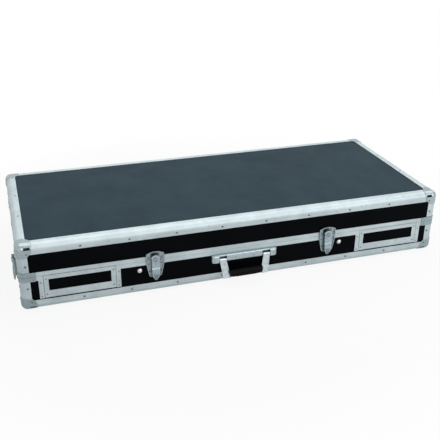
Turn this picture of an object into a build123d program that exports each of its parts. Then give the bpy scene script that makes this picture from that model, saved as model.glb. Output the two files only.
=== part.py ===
from build123d import *
import math
import os

# A long, flat console case: plywood boards held in aluminium extrusions, with ball corners,
# a lid hinged at the back, four draw latches, a bail handle and two drop-down flaps in front.
# Millimetres. X runs along the case, the front faces -Y, and Z is up from the floor.
# A depth is measured inwards from a wall's outer face, and stand-off outwards from it.

# Overall sizes
CASE_L = 1200.0          # outside length over the extrusions
CASE_D = 505.0           # outside depth, front to back
BASE_H = 95.5            # underside of the case to the joint with the lid
LID_H = 90.5             # joint to the top face
FOOT_H = 8.0             # rubber foot below the case
JOINT_GAP = 0.4          # line left open between the two rims

# Boards and extrusions
PLY_T = 7.0              # laminated plywood
SKIN_T = 1.5             # wall of every aluminium section
LEG = 27.0               # visible leg of the edge extrusions
EDGE_R = 15.0            # outer rounding of every long edge
SEAT_GAP = 0.3           # soft linings and loose boards stand this far off the metal

# Rims: the base carries a tongue, the lid a groove
RAIL_H = 12.0            # visible lip of each rim
RIM_DROP = 3.0           # top edge of the base boards below the joint
TONGUE_T = 2.5
TONGUE_H = 4.5           # tongue above the joint
GROOVE_H = 5.5           # roof of the lid's groove above the joint

# Stamped corners
CORNER_T = 1.5           # sheet of the ball corners
BALL_R = 28.0            # sphere that trims the three leaves
BALL_IN = 14.0           # its centre, inwards from the two walls
BALL_UP = 12.0           # and from the top or the bottom face
CORNER_SLOT_W = 14.0
CORNER_SLOT_H = 3.6
CORNER_SLOT_IN = 21.0    # near end of the slot from the end of the case
CORNER_SLOT_UP = 6.8     # and from the top or the bottom face
BRACE_T = 1.2            # sheet of the rim corner pieces
BRACE_L = 43.0           # leaf of a rim corner piece

# Front flaps
FLAP_L = 184.3           # length of a flap
FLAP_END = 60.2          # outer end of a flap from the end of the case
FLAP_GAP = 1.0           # beside a flap
FLAP_FIT = 0.1           # all round a flap's board in its frame
FLAP_TOP_GAP = 0.8       # under the joint
STRIP_W = 12.0           # jamb strip and flap stile
STRIP_LIFT = 2.6         # foot of a jamb strip above the bottom extrusion
SILL_H = 20.0            # bottom member of the flap
FLAP_LEAF_T = 0.8
FLAP_KNUCKLE_R = 1.4
FLAP_PIN_R = 0.6
FLAP_AXIS_UP = 1.7       # hinge line above the bottom extrusion
FLAP_AXIS_OUT = 0.2      # hinge line outside the front face
FLAP_KNUCKLES = 5
CATCH_DROP = 34.0        # ball catch below the joint
CATCH_R = 3.0
CATCH_L = 8.0
CATCH_BALL_R = 1.8
CATCH_SHOW = 0.7         # how far the ball stands out of the jamb

# Inside
DIVIDER_IN = 64.5        # centre of a divider, inwards of the flap beside it
DIVIDER_T = 9.0
DIVIDER_DROP = 12.5      # divider top below the joint
BOLT_DROP = 28.0         # dome bolts below the joint
BOLT_R = 3.0
BOLT_HEAD_R = 6.75
BOLT_HEAD_H = 3.2
BOLT_L = 29.0
LINING_T = 10.0
LINING_DROP = 14.0       # top of the linings below the joint
PAD_T = 20.0
LID_FOAM_T = 25.0

# Feet
FOOT_R = 19.0
FOOT_TOE_R = 16.0
FOOT_FROM_END = 80.0     # centre of a corner foot from the end of the case
FOOT_FROM_FACE = 62.5    # and from the front or back face
SCREW_R = 2.2
SCREW_HEAD_R = 4.4
SCREW_HEAD_H = 2.6
FOOT_WEB = 4.0           # rubber under the screw head

# Handle
BRACKET_L = 190.0        # over the end hoods
BRACKET_TOP = 12.1       # top of the bracket below the joint
BAR_H = 20.0
BAR_OUT = 7.5
HOOD_OUT = 11.0
HOOD_H = 22.5
HANDLE_AXIS_DROP = 26.0  # pivot below the joint
HANDLE_AXIS_OUT = 6.5
HANDLE_PIN_R = 2.0
KNUCKLE_R = 4.5
POCKET_ROOF = 1.8        # bar left above the arms' pockets
ARM_X_TOP = 63.5         # centre of an arm at its pivot
ARM_X_LOW = 54.5         # and at its lower end
ARM_W_TOP = 19.0
ARM_W_LOW = 21.0
ARM_LOW = 78.0           # lower end of the arms below the joint
ARM_CLEAR = 1.0          # beside each arm in the bracket
GRIP_R = 11.4            # along the middle half
GRIP_END_R = 10.0
GRIP_DROP = 65.5         # grip axis below the joint
GRIP_OUT = 18.0

# Latches: heights are from the joint, stand-off from the wall's face
LATCH_IN = 41.0          # front latches, inwards of the dividers
LATCH_FROM_FACE = 102.5  # end latches, back from the front face
PLATE_FLOOR = 1.2
PLATE_RIM = 3.2
PLATE_RIM_W = 2.2
PLATE_W = 48.6           # widest, at the joint
PLATE_LOW = -50.0
KEEPER_SHOULDER = 20.0   # top of the keeper's straight sides
KEEPER_TOP = 26.6
YOKE_UP = -5.0           # yoke pivot in the base plate
YOKE_OUT = 5.2
YOKE_L = 26.0            # between its two pins
YOKE_TILT = 1.2          # lever pin sits this much nearer the wall
YOKE_W = 12.0
YOKE_T = 1.6
YOKE_EYE_R = 2.4
LATCH_PIN_R = 1.15
EAR_T = 1.5
LEVER_TOP = 18.6
LEVER_SHOULDER = 13.0    # where the arch of its top begins
LEVER_HALF = 11.6        # half width at the shoulders
LEVER_WAIST = 10.4       # half width at the yoke's pivot
LEVER_SHELL = 1.6
LEVER_OUT = 10.4
CREASE = -19.0           # step between the flat panel and the thumb tail
CREASE_STEP = 1.3
LEVER_TIP = -56.0        # end of the thumb tail
LEVER_TIP_OUT = 10.0
FLUTE_R = 1.8
FLUTE_DEPTH = 0.9
HOOK_HALF = 5.0
HOOK_LOW = 13.4          # tip of the hook
LIP_HALF = 6.0
LIP_TOP = 14.8           # lip of the keeper that the hook holds
LIP_IN = 5.1
LIP_T = 1.5
PLUG_UP = 4.6            # lock centre above the joint
PLUG_R = 4.2
PLUG_RING_R = 6.3
PIN_CLEAR = 0.05         # running clearance round every pin

# Lid hinges
HINGE_FROM_END = 200.0   # centre of an outer hinge from the end of the case
HINGE_W = 64.0
HINGE_LEAF_T = 2.0
HINGE_LEAF_H = 36.0
HINGE_AXIS_OUT = 4.5
HINGE_KNUCKLE_R = 4.2
HINGE_PIN_R = 2.0
HINGE_KNUCKLES = 5
KNUCKLE_GAP = 0.3
STOP_ANGLE = 100.0       # lid opening at which the stop lugs land
STOP_L = 12.0
STOP_T = 2.5
STOP_W = 6.0

# Levels and planes that follow from the sizes above
HALF_L = CASE_L / 2
HALF_D = CASE_D / 2
BOTTOM = FOOT_H
JOINT = BOTTOM + BASE_H
TOP = JOINT + LID_H
WALL_T = PLY_T + 2 * SKIN_T
BOARD_IN = SKIN_T + PLY_T
BASE_BOARD_TOP = JOINT - RIM_DROP
LID_BOARD_LOW = JOINT + GROOVE_H + SKIN_T
SILL = BOTTOM + LEG
FLAP_AXIS_Z = SILL + FLAP_AXIS_UP
FLAP_LOW = SILL + 2 * FLAP_AXIS_UP
FLAP_HIGH = JOINT - FLAP_TOP_GAP
HANDLE_AXIS_Z = JOINT - HANDLE_AXIS_DROP
FLAP_X1 = HALF_L - FLAP_END
FLAP_X0 = FLAP_X1 - FLAP_L
DIVIDER_X = FLAP_X0 - DIVIDER_IN
LATCH_X = DIVIDER_X - LATCH_IN
LATCH_Y = -HALF_D + LATCH_FROM_FACE
FOOT_X = HALF_L - FOOT_FROM_END
FOOT_Y = HALF_D - FOOT_FROM_FACE
HINGE_X = HALF_L - HINGE_FROM_END
SIDES = (-1, 1)


# Small helpers

def block(x, y, z):
    """A box from three (low, high) pairs."""
    centre = [(low + high) / 2 for low, high in (x, y, z)]
    size = [high - low for low, high in (x, y, z)]
    return Pos(*centre) * Box(*size)


def rect(x, y):
    """A flat rectangle from two (low, high) pairs."""
    return Pos((x[0] + x[1]) / 2, (y[0] + y[1]) / 2) * Rectangle(x[1] - x[0], y[1] - y[0])


def span(a, b):
    """The same two numbers in rising order."""
    return (min(a, b), max(a, b))


def rod(start, end, radius):
    """A round bar between two points."""
    axis = Vector(*end) - Vector(*start)
    return extrude(Plane(origin=start, z_dir=axis) * Circle(radius), amount=axis.length)


def side_prism(outline, half):
    """An outline drawn as (stand-off, height), made 2 x half wide along X."""
    plane = Plane(origin=(half, 0, 0), x_dir=(0, -1, 0), z_dir=(-1, 0, 0))
    return extrude(plane * outline, amount=2 * half)


def front_prism(outline, near, far):
    """An outline drawn as (x, height), from one stand-off to another."""
    plane = Plane(origin=(0, -near, 0), x_dir=(1, 0, 0), z_dir=(0, -1, 0))
    return extrude(plane * outline, amount=far - near)


def polygon(*points):
    return make_face(Polyline(*points, close=True))


def both_sides(piece):
    """A piece and its twin on the other side of the middle plane."""
    return [piece, mirror(piece, about=Plane.YZ)]


def four_corners(piece):
    """A piece at the left front corner, repeated at all four."""
    front = both_sides(piece)
    return front + [mirror(one, about=Plane.XZ) for one in front]


def save(name, *pieces):
    solids = []
    for piece in pieces:
        solids += (Pos(0, BACK_SHIFT, 0) * piece).solids()
    export_step(Compound(children=solids), os.path.join("parts", name + ".step"))
    print(name, len(solids))


# Edge extrusions

def edge_section():
    """Rounded double angle with a slot for each of the two boards."""
    corner = rect((0, LEG), (0, LEG))
    corner = fillet(min(corner.vertices(), key=lambda v: v.X + v.Y), EDGE_R)
    slot = rect((EDGE_R, LEG), (SKIN_T, BOARD_IN))
    inside = rect((WALL_T, LEG), (WALL_T, LEG))
    chamber = rect((SKIN_T, EDGE_R - SKIN_T), (SKIN_T, EDGE_R - SKIN_T))
    chamber = fillet(min(chamber.vertices(), key=lambda v: v.X + v.Y), EDGE_R - 2 * SKIN_T)
    chamber -= rect((BOARD_IN, EDGE_R), (BOARD_IN, EDGE_R))
    return corner - slot - mirror(slot, about=Plane(origin=(0, 0, 0), z_dir=(1, -1, 0))) - inside - chamber


def edge_bar(start, run, inward_a, inward_b, length, mitres):
    """One length of the extrusion, with mitres at its start and end where asked."""
    run, inward_a, inward_b = Vector(*run), Vector(*inward_a), Vector(*inward_b)
    start = Vector(*start)
    across = inward_b if (run.cross(inward_b) - inward_a).length < 0.1 else inward_a
    bar = extrude(Plane(origin=start, x_dir=across, z_dir=run) * edge_section(), amount=length)
    ends = ((start, run), (start + run * length, run * -1))
    for wanted, (point, into) in zip(mitres, ends):
        if wanted:
            for inward in (inward_a, inward_b):
                bar = split(bar, bisect_by=Plane(origin=point, z_dir=into - inward), keep=Keep.TOP)
            bar -= corner_tip(point, into + inward_a + inward_b)
    return bar


def corner_tip(point, inward):
    """What stands outside the round corner when three rounded edges meet."""
    centre = point + inward * EDGE_R
    cube = block(span(point.X, centre.X), span(point.Y, centre.Y), span(point.Z, centre.Z))
    return cube - Pos(centre) * Sphere(EDGE_R)


def corner_slots(side, level, up):
    """The slots punched through a long edge's wall, under those of its two ball corners."""
    x = (HALF_L - CORNER_SLOT_IN - CORNER_SLOT_W, HALF_L - CORNER_SLOT_IN)
    y = span(side * (HALF_D + 1), side * (HALF_D - EDGE_R / 2))
    return both_sides(block(x, y, span(level + up * CORNER_SLOT_UP,
                                       level + up * (CORNER_SLOT_UP + CORNER_SLOT_H))))


def long_edge(side, level, up):
    start = (-HALF_L, side * HALF_D, level)
    bar = edge_bar(start, (1, 0, 0), (0, 0, up), (0, -side, 0), CASE_L, (True, True))
    for slot in corner_slots(side, level, up):
        bar -= slot
    return bar


def short_edge(side, level, up):
    start = (side * HALF_L, -HALF_D, level)
    return edge_bar(start, (0, 1, 0), (0, 0, up), (-side, 0, 0), CASE_D, (True, True))


def corner_posts(low, high, mitres):
    posts = []
    for sx in SIDES:
        for sy in SIDES:
            start = (sx * HALF_L, sy * HALF_D, low)
            posts.append(edge_bar(start, (0, 0, 1), (-sx, 0, 0), (0, -sy, 0), high - low, mitres))
    return posts


# Rims

def ring(outer, inner, low, high):
    """A rounded rectangular ring that follows the case's plan."""
    plan = RectangleRounded(CASE_L - 2 * outer, CASE_D - 2 * outer, EDGE_R - outer)
    hole = RectangleRounded(CASE_L - 2 * inner, CASE_D - 2 * inner, EDGE_R - inner)
    return extrude(Pos(0, 0, low) * (plan - hole), amount=high - low)


def base_rim():
    tongue_out = (WALL_T - TONGUE_T) / 2
    rim = ring(0, SKIN_T, JOINT - RAIL_H, JOINT)
    rim += ring(0, WALL_T, BASE_BOARD_TOP, BASE_BOARD_TOP + SKIN_T)
    rim += ring(BOARD_IN, WALL_T, JOINT - RAIL_H, BASE_BOARD_TOP + SKIN_T)
    rim += ring(tongue_out, tongue_out + TONGUE_T, BASE_BOARD_TOP, JOINT + TONGUE_H)
    return rim


def lid_rim():
    rim = ring(0, SKIN_T, JOINT + JOINT_GAP, JOINT + RAIL_H)
    rim += ring(0, WALL_T, LID_BOARD_LOW - SKIN_T, LID_BOARD_LOW)
    rim += ring(BOARD_IN, WALL_T, JOINT + JOINT_GAP, JOINT + RAIL_H)
    return rim


def mitred_lengths(rim):
    """Cuts a rim into its front, back, left and right lengths."""
    deep = HALF_L - HALF_D
    long_side = polygon((-HALF_L, -HALF_D), (HALF_L, -HALF_D), (deep, 0), (-deep, 0))
    short_side = polygon((-HALF_L, -HALF_D), (-deep, 0), (-HALF_L, HALF_D))
    wedges = [long_side, mirror(long_side, about=Plane.XZ), short_side, mirror(short_side, about=Plane.YZ)]
    return [rim & extrude(wedge, amount=TOP) for wedge in wedges]


def flap_bays(extra, low):
    """The two places in the front wall that the flaps fill, wider by extra at each end."""
    bay = block((FLAP_X0 - extra, FLAP_X1 + extra), (-HALF_D - 1, -HALF_D + WALL_T + 1), (low, TOP))
    bay -= block((0, HALF_L), (-HALF_D - 2, 0), (JOINT + TONGUE_H + 0.1, TOP + 1))
    return both_sides(bay)


# Boards

def wall_board(side, low, high):
    y = span(side * (HALF_D - SKIN_T), side * (HALF_D - BOARD_IN))
    return block((-HALF_L + EDGE_R, HALF_L - EDGE_R), y, (low, high))


def end_board(side, low, high):
    x = span(side * (HALF_L - SKIN_T), side * (HALF_L - BOARD_IN))
    return block(x, (-HALF_D + EDGE_R, HALF_D - EDGE_R), (low, high))


def flat_board(low):
    x = (-HALF_L + EDGE_R, HALF_L - EDGE_R)
    y = (-HALF_D + EDGE_R, HALF_D - EDGE_R)
    return block(x, y, (low, low + PLY_T))


def bolt_places():
    return [(sx * DIVIDER_X, sy) for sx in SIDES for sy in SIDES]


def bored_for_bolts(board):
    for x, sy in bolt_places():
        z = JOINT - BOLT_DROP
        start = (x, sy * (HALF_D + 1), z)
        end = (x, sy * (HALF_D - SKIN_T - BOLT_L), z)
        board -= rod(start, end, BOLT_R + PIN_CLEAR)
    return board


def front_board():
    """The front wall of the base, notched from above for the two flaps."""
    board = bored_for_bolts(wall_board(-1, BOTTOM + EDGE_R, BASE_BOARD_TOP))
    for bay in flap_bays(FLAP_GAP + SKIN_T, SILL):
        board -= bay
    for hole in catch_bores():
        board -= hole
    return board


def foot_places():
    return [(x, sy * FOOT_Y) for x in (-FOOT_X, 0, FOOT_X) for sy in SIDES]


def bottom_board():
    board = flat_board(BOTTOM + SKIN_T)
    for x, y in foot_places():
        board -= rod((x, y, BOTTOM), (x, y, BOTTOM + BOARD_IN - 1), SCREW_R + PIN_CLEAR)
    return board


# Corners

def rounded_corner(radius, out):
    """The case's outer form at a corner at the origin, grown outwards."""
    reach = 2 * (BALL_R + BALL_IN)
    body = Box(reach, reach, reach, align=(Align.MIN, Align.MIN, Align.MIN))
    near = [e for e in body.edges() if e.center().X + e.center().Y + e.center().Z < reach * 0.75]
    return Pos(-out, -out, -out) * fillet(near, radius)


def ball_corner():
    """Three round leaves and a ball, drawn at the origin with the case towards +X +Y +Z."""
    shell = rounded_corner(EDGE_R + CORNER_T, CORNER_T) - rounded_corner(EDGE_R, 0)
    shell &= Pos(BALL_IN, BALL_IN, BALL_UP) * Sphere(BALL_R)
    slot = block((CORNER_SLOT_IN, CORNER_SLOT_IN + CORNER_SLOT_W), (-CORNER_T - 1, EDGE_R / 2),
                 (CORNER_SLOT_UP, CORNER_SLOT_UP + CORNER_SLOT_H))
    return shell - slot


def base_ball_corners():
    return four_corners(Pos(-HALF_L, -HALF_D, BOTTOM) * ball_corner())


def lid_ball_corners():
    upside_down = mirror(ball_corner(), about=Plane.XY)
    return four_corners(Pos(-HALF_L, -HALF_D, TOP) * upside_down)


def rim_corner(low, high):
    """A stamped angle that wraps a rim's corner, with a pressed dimple in each leaf."""
    plan = RectangleRounded(CASE_L + 2 * BRACE_T, CASE_D + 2 * BRACE_T, EDGE_R + BRACE_T)
    hole = RectangleRounded(CASE_L, CASE_D, EDGE_R)
    wrap = extrude(Pos(0, 0, low) * (plan - hole), amount=high - low)
    leaf = block((-HALF_L - 2, -HALF_L + BRACE_L), (-HALF_D - 2, -HALF_D + BRACE_L), (low, high))
    piece = wrap & leaf
    ends = [e for e in piece.edges().filter_by(GeomType.LINE)
            if e.center().X + HALF_L > BRACE_L - 0.1 or e.center().Y + HALF_D > BRACE_L - 0.1]
    ends = [e for e in ends if abs(e.tangent_at(0.5).Z) < 0.1 and e.length < BRACE_T + 0.1]
    piece = fillet(ends, (high - low) * 0.3)
    middle = (low + high) / 2
    dimple = BRACE_L - 8
    piece += Pos(-HALF_L + dimple, -HALF_D - BRACE_T, middle) * Rot(90, 0, 0) * Cone(3.2, 2.0, 1.0)
    piece += Pos(-HALF_L - BRACE_T, -HALF_D + dimple, middle) * Rot(0, -90, 0) * Cone(3.2, 2.0, 1.0)
    return four_corners(piece)


# Flaps, drawn for the right-hand side

def flap_board(play):
    """The flap's board, or with no play the room for it in the frame."""
    edge = SKIN_T + play
    return block((FLAP_X0 + edge, FLAP_X1 - edge), (-HALF_D + edge, -HALF_D + WALL_T - edge),
                 (FLAP_LOW + edge, FLAP_HIGH - edge))


def flap_frame():
    """Four mitred channels round the flap's board."""
    whole = block((FLAP_X0, FLAP_X1), (-HALF_D, -HALF_D + WALL_T), (FLAP_LOW, FLAP_HIGH))
    window_x = (FLAP_X0 + STRIP_W, FLAP_X1 - STRIP_W)
    window_z = (FLAP_LOW + SILL_H, JOINT - RAIL_H)
    whole -= flap_board(0)
    whole -= block(window_x, (-HALF_D - 1, -HALF_D + WALL_T + 1), window_z)
    for hole in catch_dimples():
        whole -= hole
    outer = ((FLAP_X0, FLAP_LOW), (FLAP_X1, FLAP_LOW), (FLAP_X1, FLAP_HIGH), (FLAP_X0, FLAP_HIGH))
    inner = ((window_x[0], window_z[0]), (window_x[1], window_z[0]),
             (window_x[1], window_z[1]), (window_x[0], window_z[1]))
    members = []
    for i in range(4):
        j = (i + 1) % 4
        outline = polygon(outer[i], outer[j], inner[j], inner[i])
        members.append(whole & front_prism(outline, HALF_D - WALL_T - 1, HALF_D + 1))
    return members


def flap_leaf(moving):
    """One leaf of the flap's long hinge; the fixed one carries the pin."""
    x = (FLAP_X0 + STRIP_W, FLAP_X1 - STRIP_W)
    step = (x[1] - x[0]) / FLAP_KNUCKLES
    axis_y = -HALF_D - FLAP_AXIS_OUT
    low = FLAP_LOW - FLAP_LEAF_T if moving else SILL
    leaf = block(x, (-HALF_D + 0.4, -HALF_D + WALL_T - 1), (low, low + FLAP_LEAF_T))
    own = 1 if moving else 0
    for i in range(FLAP_KNUCKLES):
        a, b = x[0] + i * step, x[0] + (i + 1) * step
        if i % 2 == own:
            leaf += rod((a + KNUCKLE_GAP / 2, axis_y, FLAP_AXIS_Z), (b - KNUCKLE_GAP / 2, axis_y, FLAP_AXIS_Z),
                        FLAP_KNUCKLE_R)
        else:
            leaf -= block((a - KNUCKLE_GAP, b + KNUCKLE_GAP), (-HALF_D - 3, -HALF_D + FLAP_KNUCKLE_R + KNUCKLE_GAP),
                          (SILL - 1, FLAP_LOW + 1))
    pin = (x[0], axis_y, FLAP_AXIS_Z), (x[1], axis_y, FLAP_AXIS_Z)
    if moving:
        return leaf - rod(*pin, FLAP_PIN_R + PIN_CLEAR)
    return leaf + rod(*pin, FLAP_PIN_R)


def jamb_strips():
    """Angles that cover the cut edges of the front board beside each flap."""
    strips = []
    foot = SILL + STRIP_LIFT
    for face, away in catch_places():
        cover = block(span(face, face + away * STRIP_W), (-HALF_D, -HALF_D + SKIN_T), (foot, JOINT - RAIL_H))
        wrap = block(span(face, face + away * SKIN_T), (-HALF_D, -HALF_D + WALL_T), (foot, JOINT - FLAP_TOP_GAP))
        strip = cover + wrap
        for hole in catch_bores():
            strip -= hole
        strips.append(strip)
    return strips


def catch_places():
    """The four jamb faces, and the way each one's board lies."""
    outer, inner = FLAP_X1 + FLAP_GAP, FLAP_X0 - FLAP_GAP
    return ((outer, 1), (inner, -1), (-inner, 1), (-outer, -1))


def catch_rod(face, away, near, far, radius):
    y = -HALF_D + WALL_T / 2
    z = JOINT - CATCH_DROP
    return rod((face + away * near, y, z), (face + away * far, y, z), radius)


def catch_bores():
    return [catch_rod(face, away, -0.5, CATCH_L, CATCH_R) for face, away in catch_places()]


def catch_dimples():
    return [catch_rod(face, away, -FLAP_GAP - SKIN_T, -FLAP_GAP + 0.1, CATCH_BALL_R + 0.4)
            for face, away in catch_places()]


def ball_catches():
    """A plain barrel with the top of its ball showing, turned in one piece."""
    r = CATCH_R - PIN_CLEAR
    reach = math.sqrt(CATCH_BALL_R ** 2 - (CATCH_BALL_R - CATCH_SHOW) ** 2)
    shoulder = math.radians(30)
    middle = (CATCH_BALL_R * math.sin(shoulder), CATCH_SHOW - CATCH_BALL_R * (1 - math.cos(shoulder)))
    cap = ThreePointArc((reach, 0), middle, (0, CATCH_SHOW))
    outline = make_face([cap, Polyline((0, CATCH_SHOW), (0, -CATCH_L), (r, -CATCH_L), (r, 0), (reach, 0))])
    catch = revolve(Plane.XZ * outline, axis=Axis.Z)
    y = -HALF_D + WALL_T / 2
    z = JOINT - CATCH_DROP
    return [Plane(origin=(face, y, z), z_dir=(-away, 0, 0)) * catch for face, away in catch_places()]


# Inside of the base

def divider(side):
    """A board across the case, notched at its foot to clear the extrusions."""
    floor = BOTTOM + BOARD_IN
    wall = HALF_D - BOARD_IN
    leg = LEG - BOARD_IN + SEAT_GAP
    step = SKIN_T + SEAT_GAP
    half = [(0, floor), (wall - leg, floor), (wall - leg, floor + step), (wall - step, floor + step),
            (wall - step, floor + leg), (wall, floor + leg), (wall, JOINT - DIVIDER_DROP)]
    other = [(-y, z) for y, z in reversed(half[1:])]
    outline = polygon(*half, *other)
    board = Pos(side * DIVIDER_X, 0, 0) * side_prism(outline, DIVIDER_T / 2)
    notch = rod((side * DIVIDER_X - DIVIDER_T, HALF_D / 2, JOINT - DIVIDER_DROP),
                (side * DIVIDER_X + DIVIDER_T, HALF_D / 2, JOINT - DIVIDER_DROP), 22)
    return bored_for_bolts(board - notch)


def dome_bolts():
    """Dome-headed bolts through the walls into the ends of the dividers."""
    dome_r = (BOLT_HEAD_R ** 2 + BOLT_HEAD_H ** 2) / (2 * BOLT_HEAD_H)
    head = Pos(0, 0, BOLT_HEAD_H - dome_r) * Sphere(dome_r)
    head &= Cylinder(BOLT_HEAD_R + 1, BOLT_HEAD_H, align=(Align.CENTER, Align.CENTER, Align.MIN))
    bolt = head + Cylinder(BOLT_R, BOLT_L, align=(Align.CENTER, Align.CENTER, Align.MAX))
    bolts = []
    for x, sy in bolt_places():
        seat = Plane(origin=(x, sy * (HALF_D - SKIN_T), JOINT - BOLT_DROP), z_dir=(0, sy, 0))
        bolts.append(seat * bolt)
    return bolts


def bay_ends():
    """Low and high x of the right player bay and of half the mixer bay, inside the boards."""
    player = (DIVIDER_X + DIVIDER_T / 2 + SEAT_GAP, HALF_L - WALL_T - SEAT_GAP)
    mixer = (-DIVIDER_X + DIVIDER_T / 2 + SEAT_GAP, DIVIDER_X - DIVIDER_T / 2 - SEAT_GAP)
    return player, mixer


def bay_pads():
    """Foam on the floor of the three bays."""
    floor = BOTTOM + WALL_T + SEAT_GAP
    y = HALF_D - WALL_T - SEAT_GAP
    player, mixer = bay_ends()
    pads = both_sides(block(player, (-y, y), (floor, floor + PAD_T)))
    return pads + [block(mixer, (-y, y), (floor, floor + PAD_T))]


def bay_linings():
    """Foam strips on the walls, open in front of the flaps."""
    player, mixer = bay_ends()
    z = (BOTTOM + WALL_T + PAD_T + 2 * SEAT_GAP, JOINT - LINING_DROP)
    y = HALF_D - WALL_T - SEAT_GAP
    inner_y = y - LINING_T - SEAT_GAP
    strips = [block(mixer, (y - LINING_T, y), z), block(mixer, (-y, -y + LINING_T), z)]
    jamb = FLAP_GAP + SKIN_T
    for x in (player, ):
        strips += both_sides(block(x, (y - LINING_T, y), z))
        strips += both_sides(block((x[0], FLAP_X0 - jamb), (-y, -y + LINING_T), z))
        strips += both_sides(block((FLAP_X1 + jamb, x[1]), (-y, -y + LINING_T), z))
        strips += both_sides(block((x[0], x[0] + LINING_T), (-inner_y, inner_y), z))
        strips += both_sides(block((x[1] - LINING_T, x[1]), (-inner_y, inner_y), z))
    return strips


def lid_foam():
    high = TOP - WALL_T - SEAT_GAP
    x = HALF_L - WALL_T - SEAT_GAP
    y = HALF_D - WALL_T - SEAT_GAP
    return block((-x, x), (-y, y), (high - LID_FOAM_T, high))


# Feet

def rubber_feet():
    height = FOOT_H + SKIN_T
    outline = polygon((SCREW_R + 0.3, height), (FOOT_R, height), (FOOT_TOE_R, 0), (SCREW_HEAD_R + 1, 0),
                      (SCREW_HEAD_R + 1, height - FOOT_WEB), (SCREW_R + 0.3, height - FOOT_WEB))
    foot = revolve(Plane.XZ * outline, axis=Axis.Z)
    return [Pos(x, y, 0) * foot for x, y in foot_places()]


def foot_screws():
    seat = FOOT_H + SKIN_T - FOOT_WEB
    tip = BOTTOM + BOARD_IN - 1.5
    outline = polygon((0, seat - SCREW_HEAD_H), (SCREW_HEAD_R * 0.6, seat - SCREW_HEAD_H),
                      (SCREW_HEAD_R, seat), (SCREW_R, seat), (SCREW_R, tip), (0, tip))
    screw = revolve(Plane.XZ * outline, axis=Axis.Z)
    return [Pos(x, y, 0) * screw for x, y in foot_places()]


# Handle, drawn with its height measured from the floor

def arm_half_width(z):
    """Low and high x of the right-hand arm at a height."""
    share = (HANDLE_AXIS_Z - z) / (HANDLE_AXIS_Z - (JOINT - ARM_LOW))
    centre = ARM_X_TOP + (ARM_X_LOW - ARM_X_TOP) * share
    half = (ARM_W_TOP + (ARM_W_LOW - ARM_W_TOP) * share) / 2
    return centre - half, centre + half


def handle_bracket():
    """A bar with two end hoods; the arms' eyes turn on pins in its two pockets."""
    top = JOINT - BRACKET_TOP
    half = BRACKET_L / 2
    pocket = (arm_half_width(top - BAR_H)[0] - ARM_CLEAR, arm_half_width(HANDLE_AXIS_Z)[1] + ARM_CLEAR)
    bar = block((-half + 4, half - 4), (-HALF_D - BAR_OUT, -HALF_D + SKIN_T), (top - BAR_H, top))
    bar = fillet(bar.edges().filter_by(Axis.X).group_by(Axis.Y)[0], 3)
    hood_x = (pocket[1], half)
    hood = block(hood_x, (-HALF_D - HOOD_OUT, -HALF_D + SKIN_T), (top - HOOD_H, top))
    outer = hood.edges().filter_by(Axis.Z).group_by(Axis.X)[-1].sort_by(Axis.Y)[0]
    hood = fillet(outer, 9)
    hood = fillet(hood.edges().filter_by(Axis.X).group_by(Axis.Y)[0], 4)
    for piece in both_sides(hood):
        bar += piece
    ceiling = top - POCKET_ROOF
    for x in (pocket, (-pocket[1], -pocket[0])):
        bar -= block(x, (-HALF_D - HOOD_OUT - 1, -HALF_D - 1), (top - HOOD_H - 1, ceiling))
        bar += rod((x[0] - 2, -HALF_D - HANDLE_AXIS_OUT, HANDLE_AXIS_Z),
                   (x[1] + 2, -HALF_D - HANDLE_AXIS_OUT, HANDLE_AXIS_Z), HANDLE_PIN_R)
    return bar


def handle_arms():
    """Curved arms: a side profile cut to the taper that shows from the front."""
    low, high = JOINT - ARM_LOW, HANDLE_AXIS_Z
    middle = (low + high) / 2
    front_curve = ThreePointArc((HANDLE_AXIS_OUT + 4, high), (HANDLE_AXIS_OUT + 8.7, middle),
                                (GRIP_OUT + 3.2, low))
    back_curve = ThreePointArc((GRIP_OUT - 5, low), (HANDLE_AXIS_OUT + 2.6, middle), (HANDLE_AXIS_OUT - 3, high - 4))
    outline = make_face([front_curve, Line(front_curve @ 1, back_curve @ 0), back_curve,
                         Line(back_curve @ 1, front_curve @ 0)])
    side = Pos(0, -HALF_D, 0) * side_prism(outline, HALF_L / 4)
    upper, lower = high + KNUCKLE_R + 1, low - 1
    (a, b), (c, d) = arm_half_width(upper), arm_half_width(lower)
    taper = front_prism(polygon((a, upper), (b, upper), (d, lower), (c, lower)), HALF_D, HALF_D + 40)
    arm = side & taper
    eye_x = arm_half_width(high)
    axis_y = -HALF_D - HANDLE_AXIS_OUT
    eye = rod((eye_x[0], axis_y, high), (eye_x[1], axis_y, high), KNUCKLE_R)
    arm = arm + eye - rod((0, axis_y, high), (HALF_L / 4, axis_y, high), HANDLE_PIN_R + PIN_CLEAR)
    tips = [e for e in arm.edges() if e.center().Z < low + 1 and e.length < 14]
    return both_sides(fillet(tips, 2.5))


def handle_grip(arms):
    """A moulding that thins towards its ends, cut there to the slope of the arms."""
    z = JOINT - GRIP_DROP
    half = arm_half_width(z - GRIP_R)[0] + 4
    outline = polygon((-half, 0), (-half, GRIP_END_R), (-half / 2, GRIP_R), (half / 2, GRIP_R),
                      (half, GRIP_END_R), (half, 0))
    grip = Pos(0, -HALF_D - GRIP_OUT, z) * revolve(Plane.XY * outline, axis=Axis.X)
    (a, _), (c, _) = arm_half_width(z + 30), arm_half_width(z - 30)
    between = polygon((-a, z + 30), (a, z + 30), (c, z - 30), (-c, z - 30))
    return grip & front_prism(between, HALF_D, HALF_D + 60)


# Latches, drawn on the front face with the joint at z = 0 and the wall's face at y = 0

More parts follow.
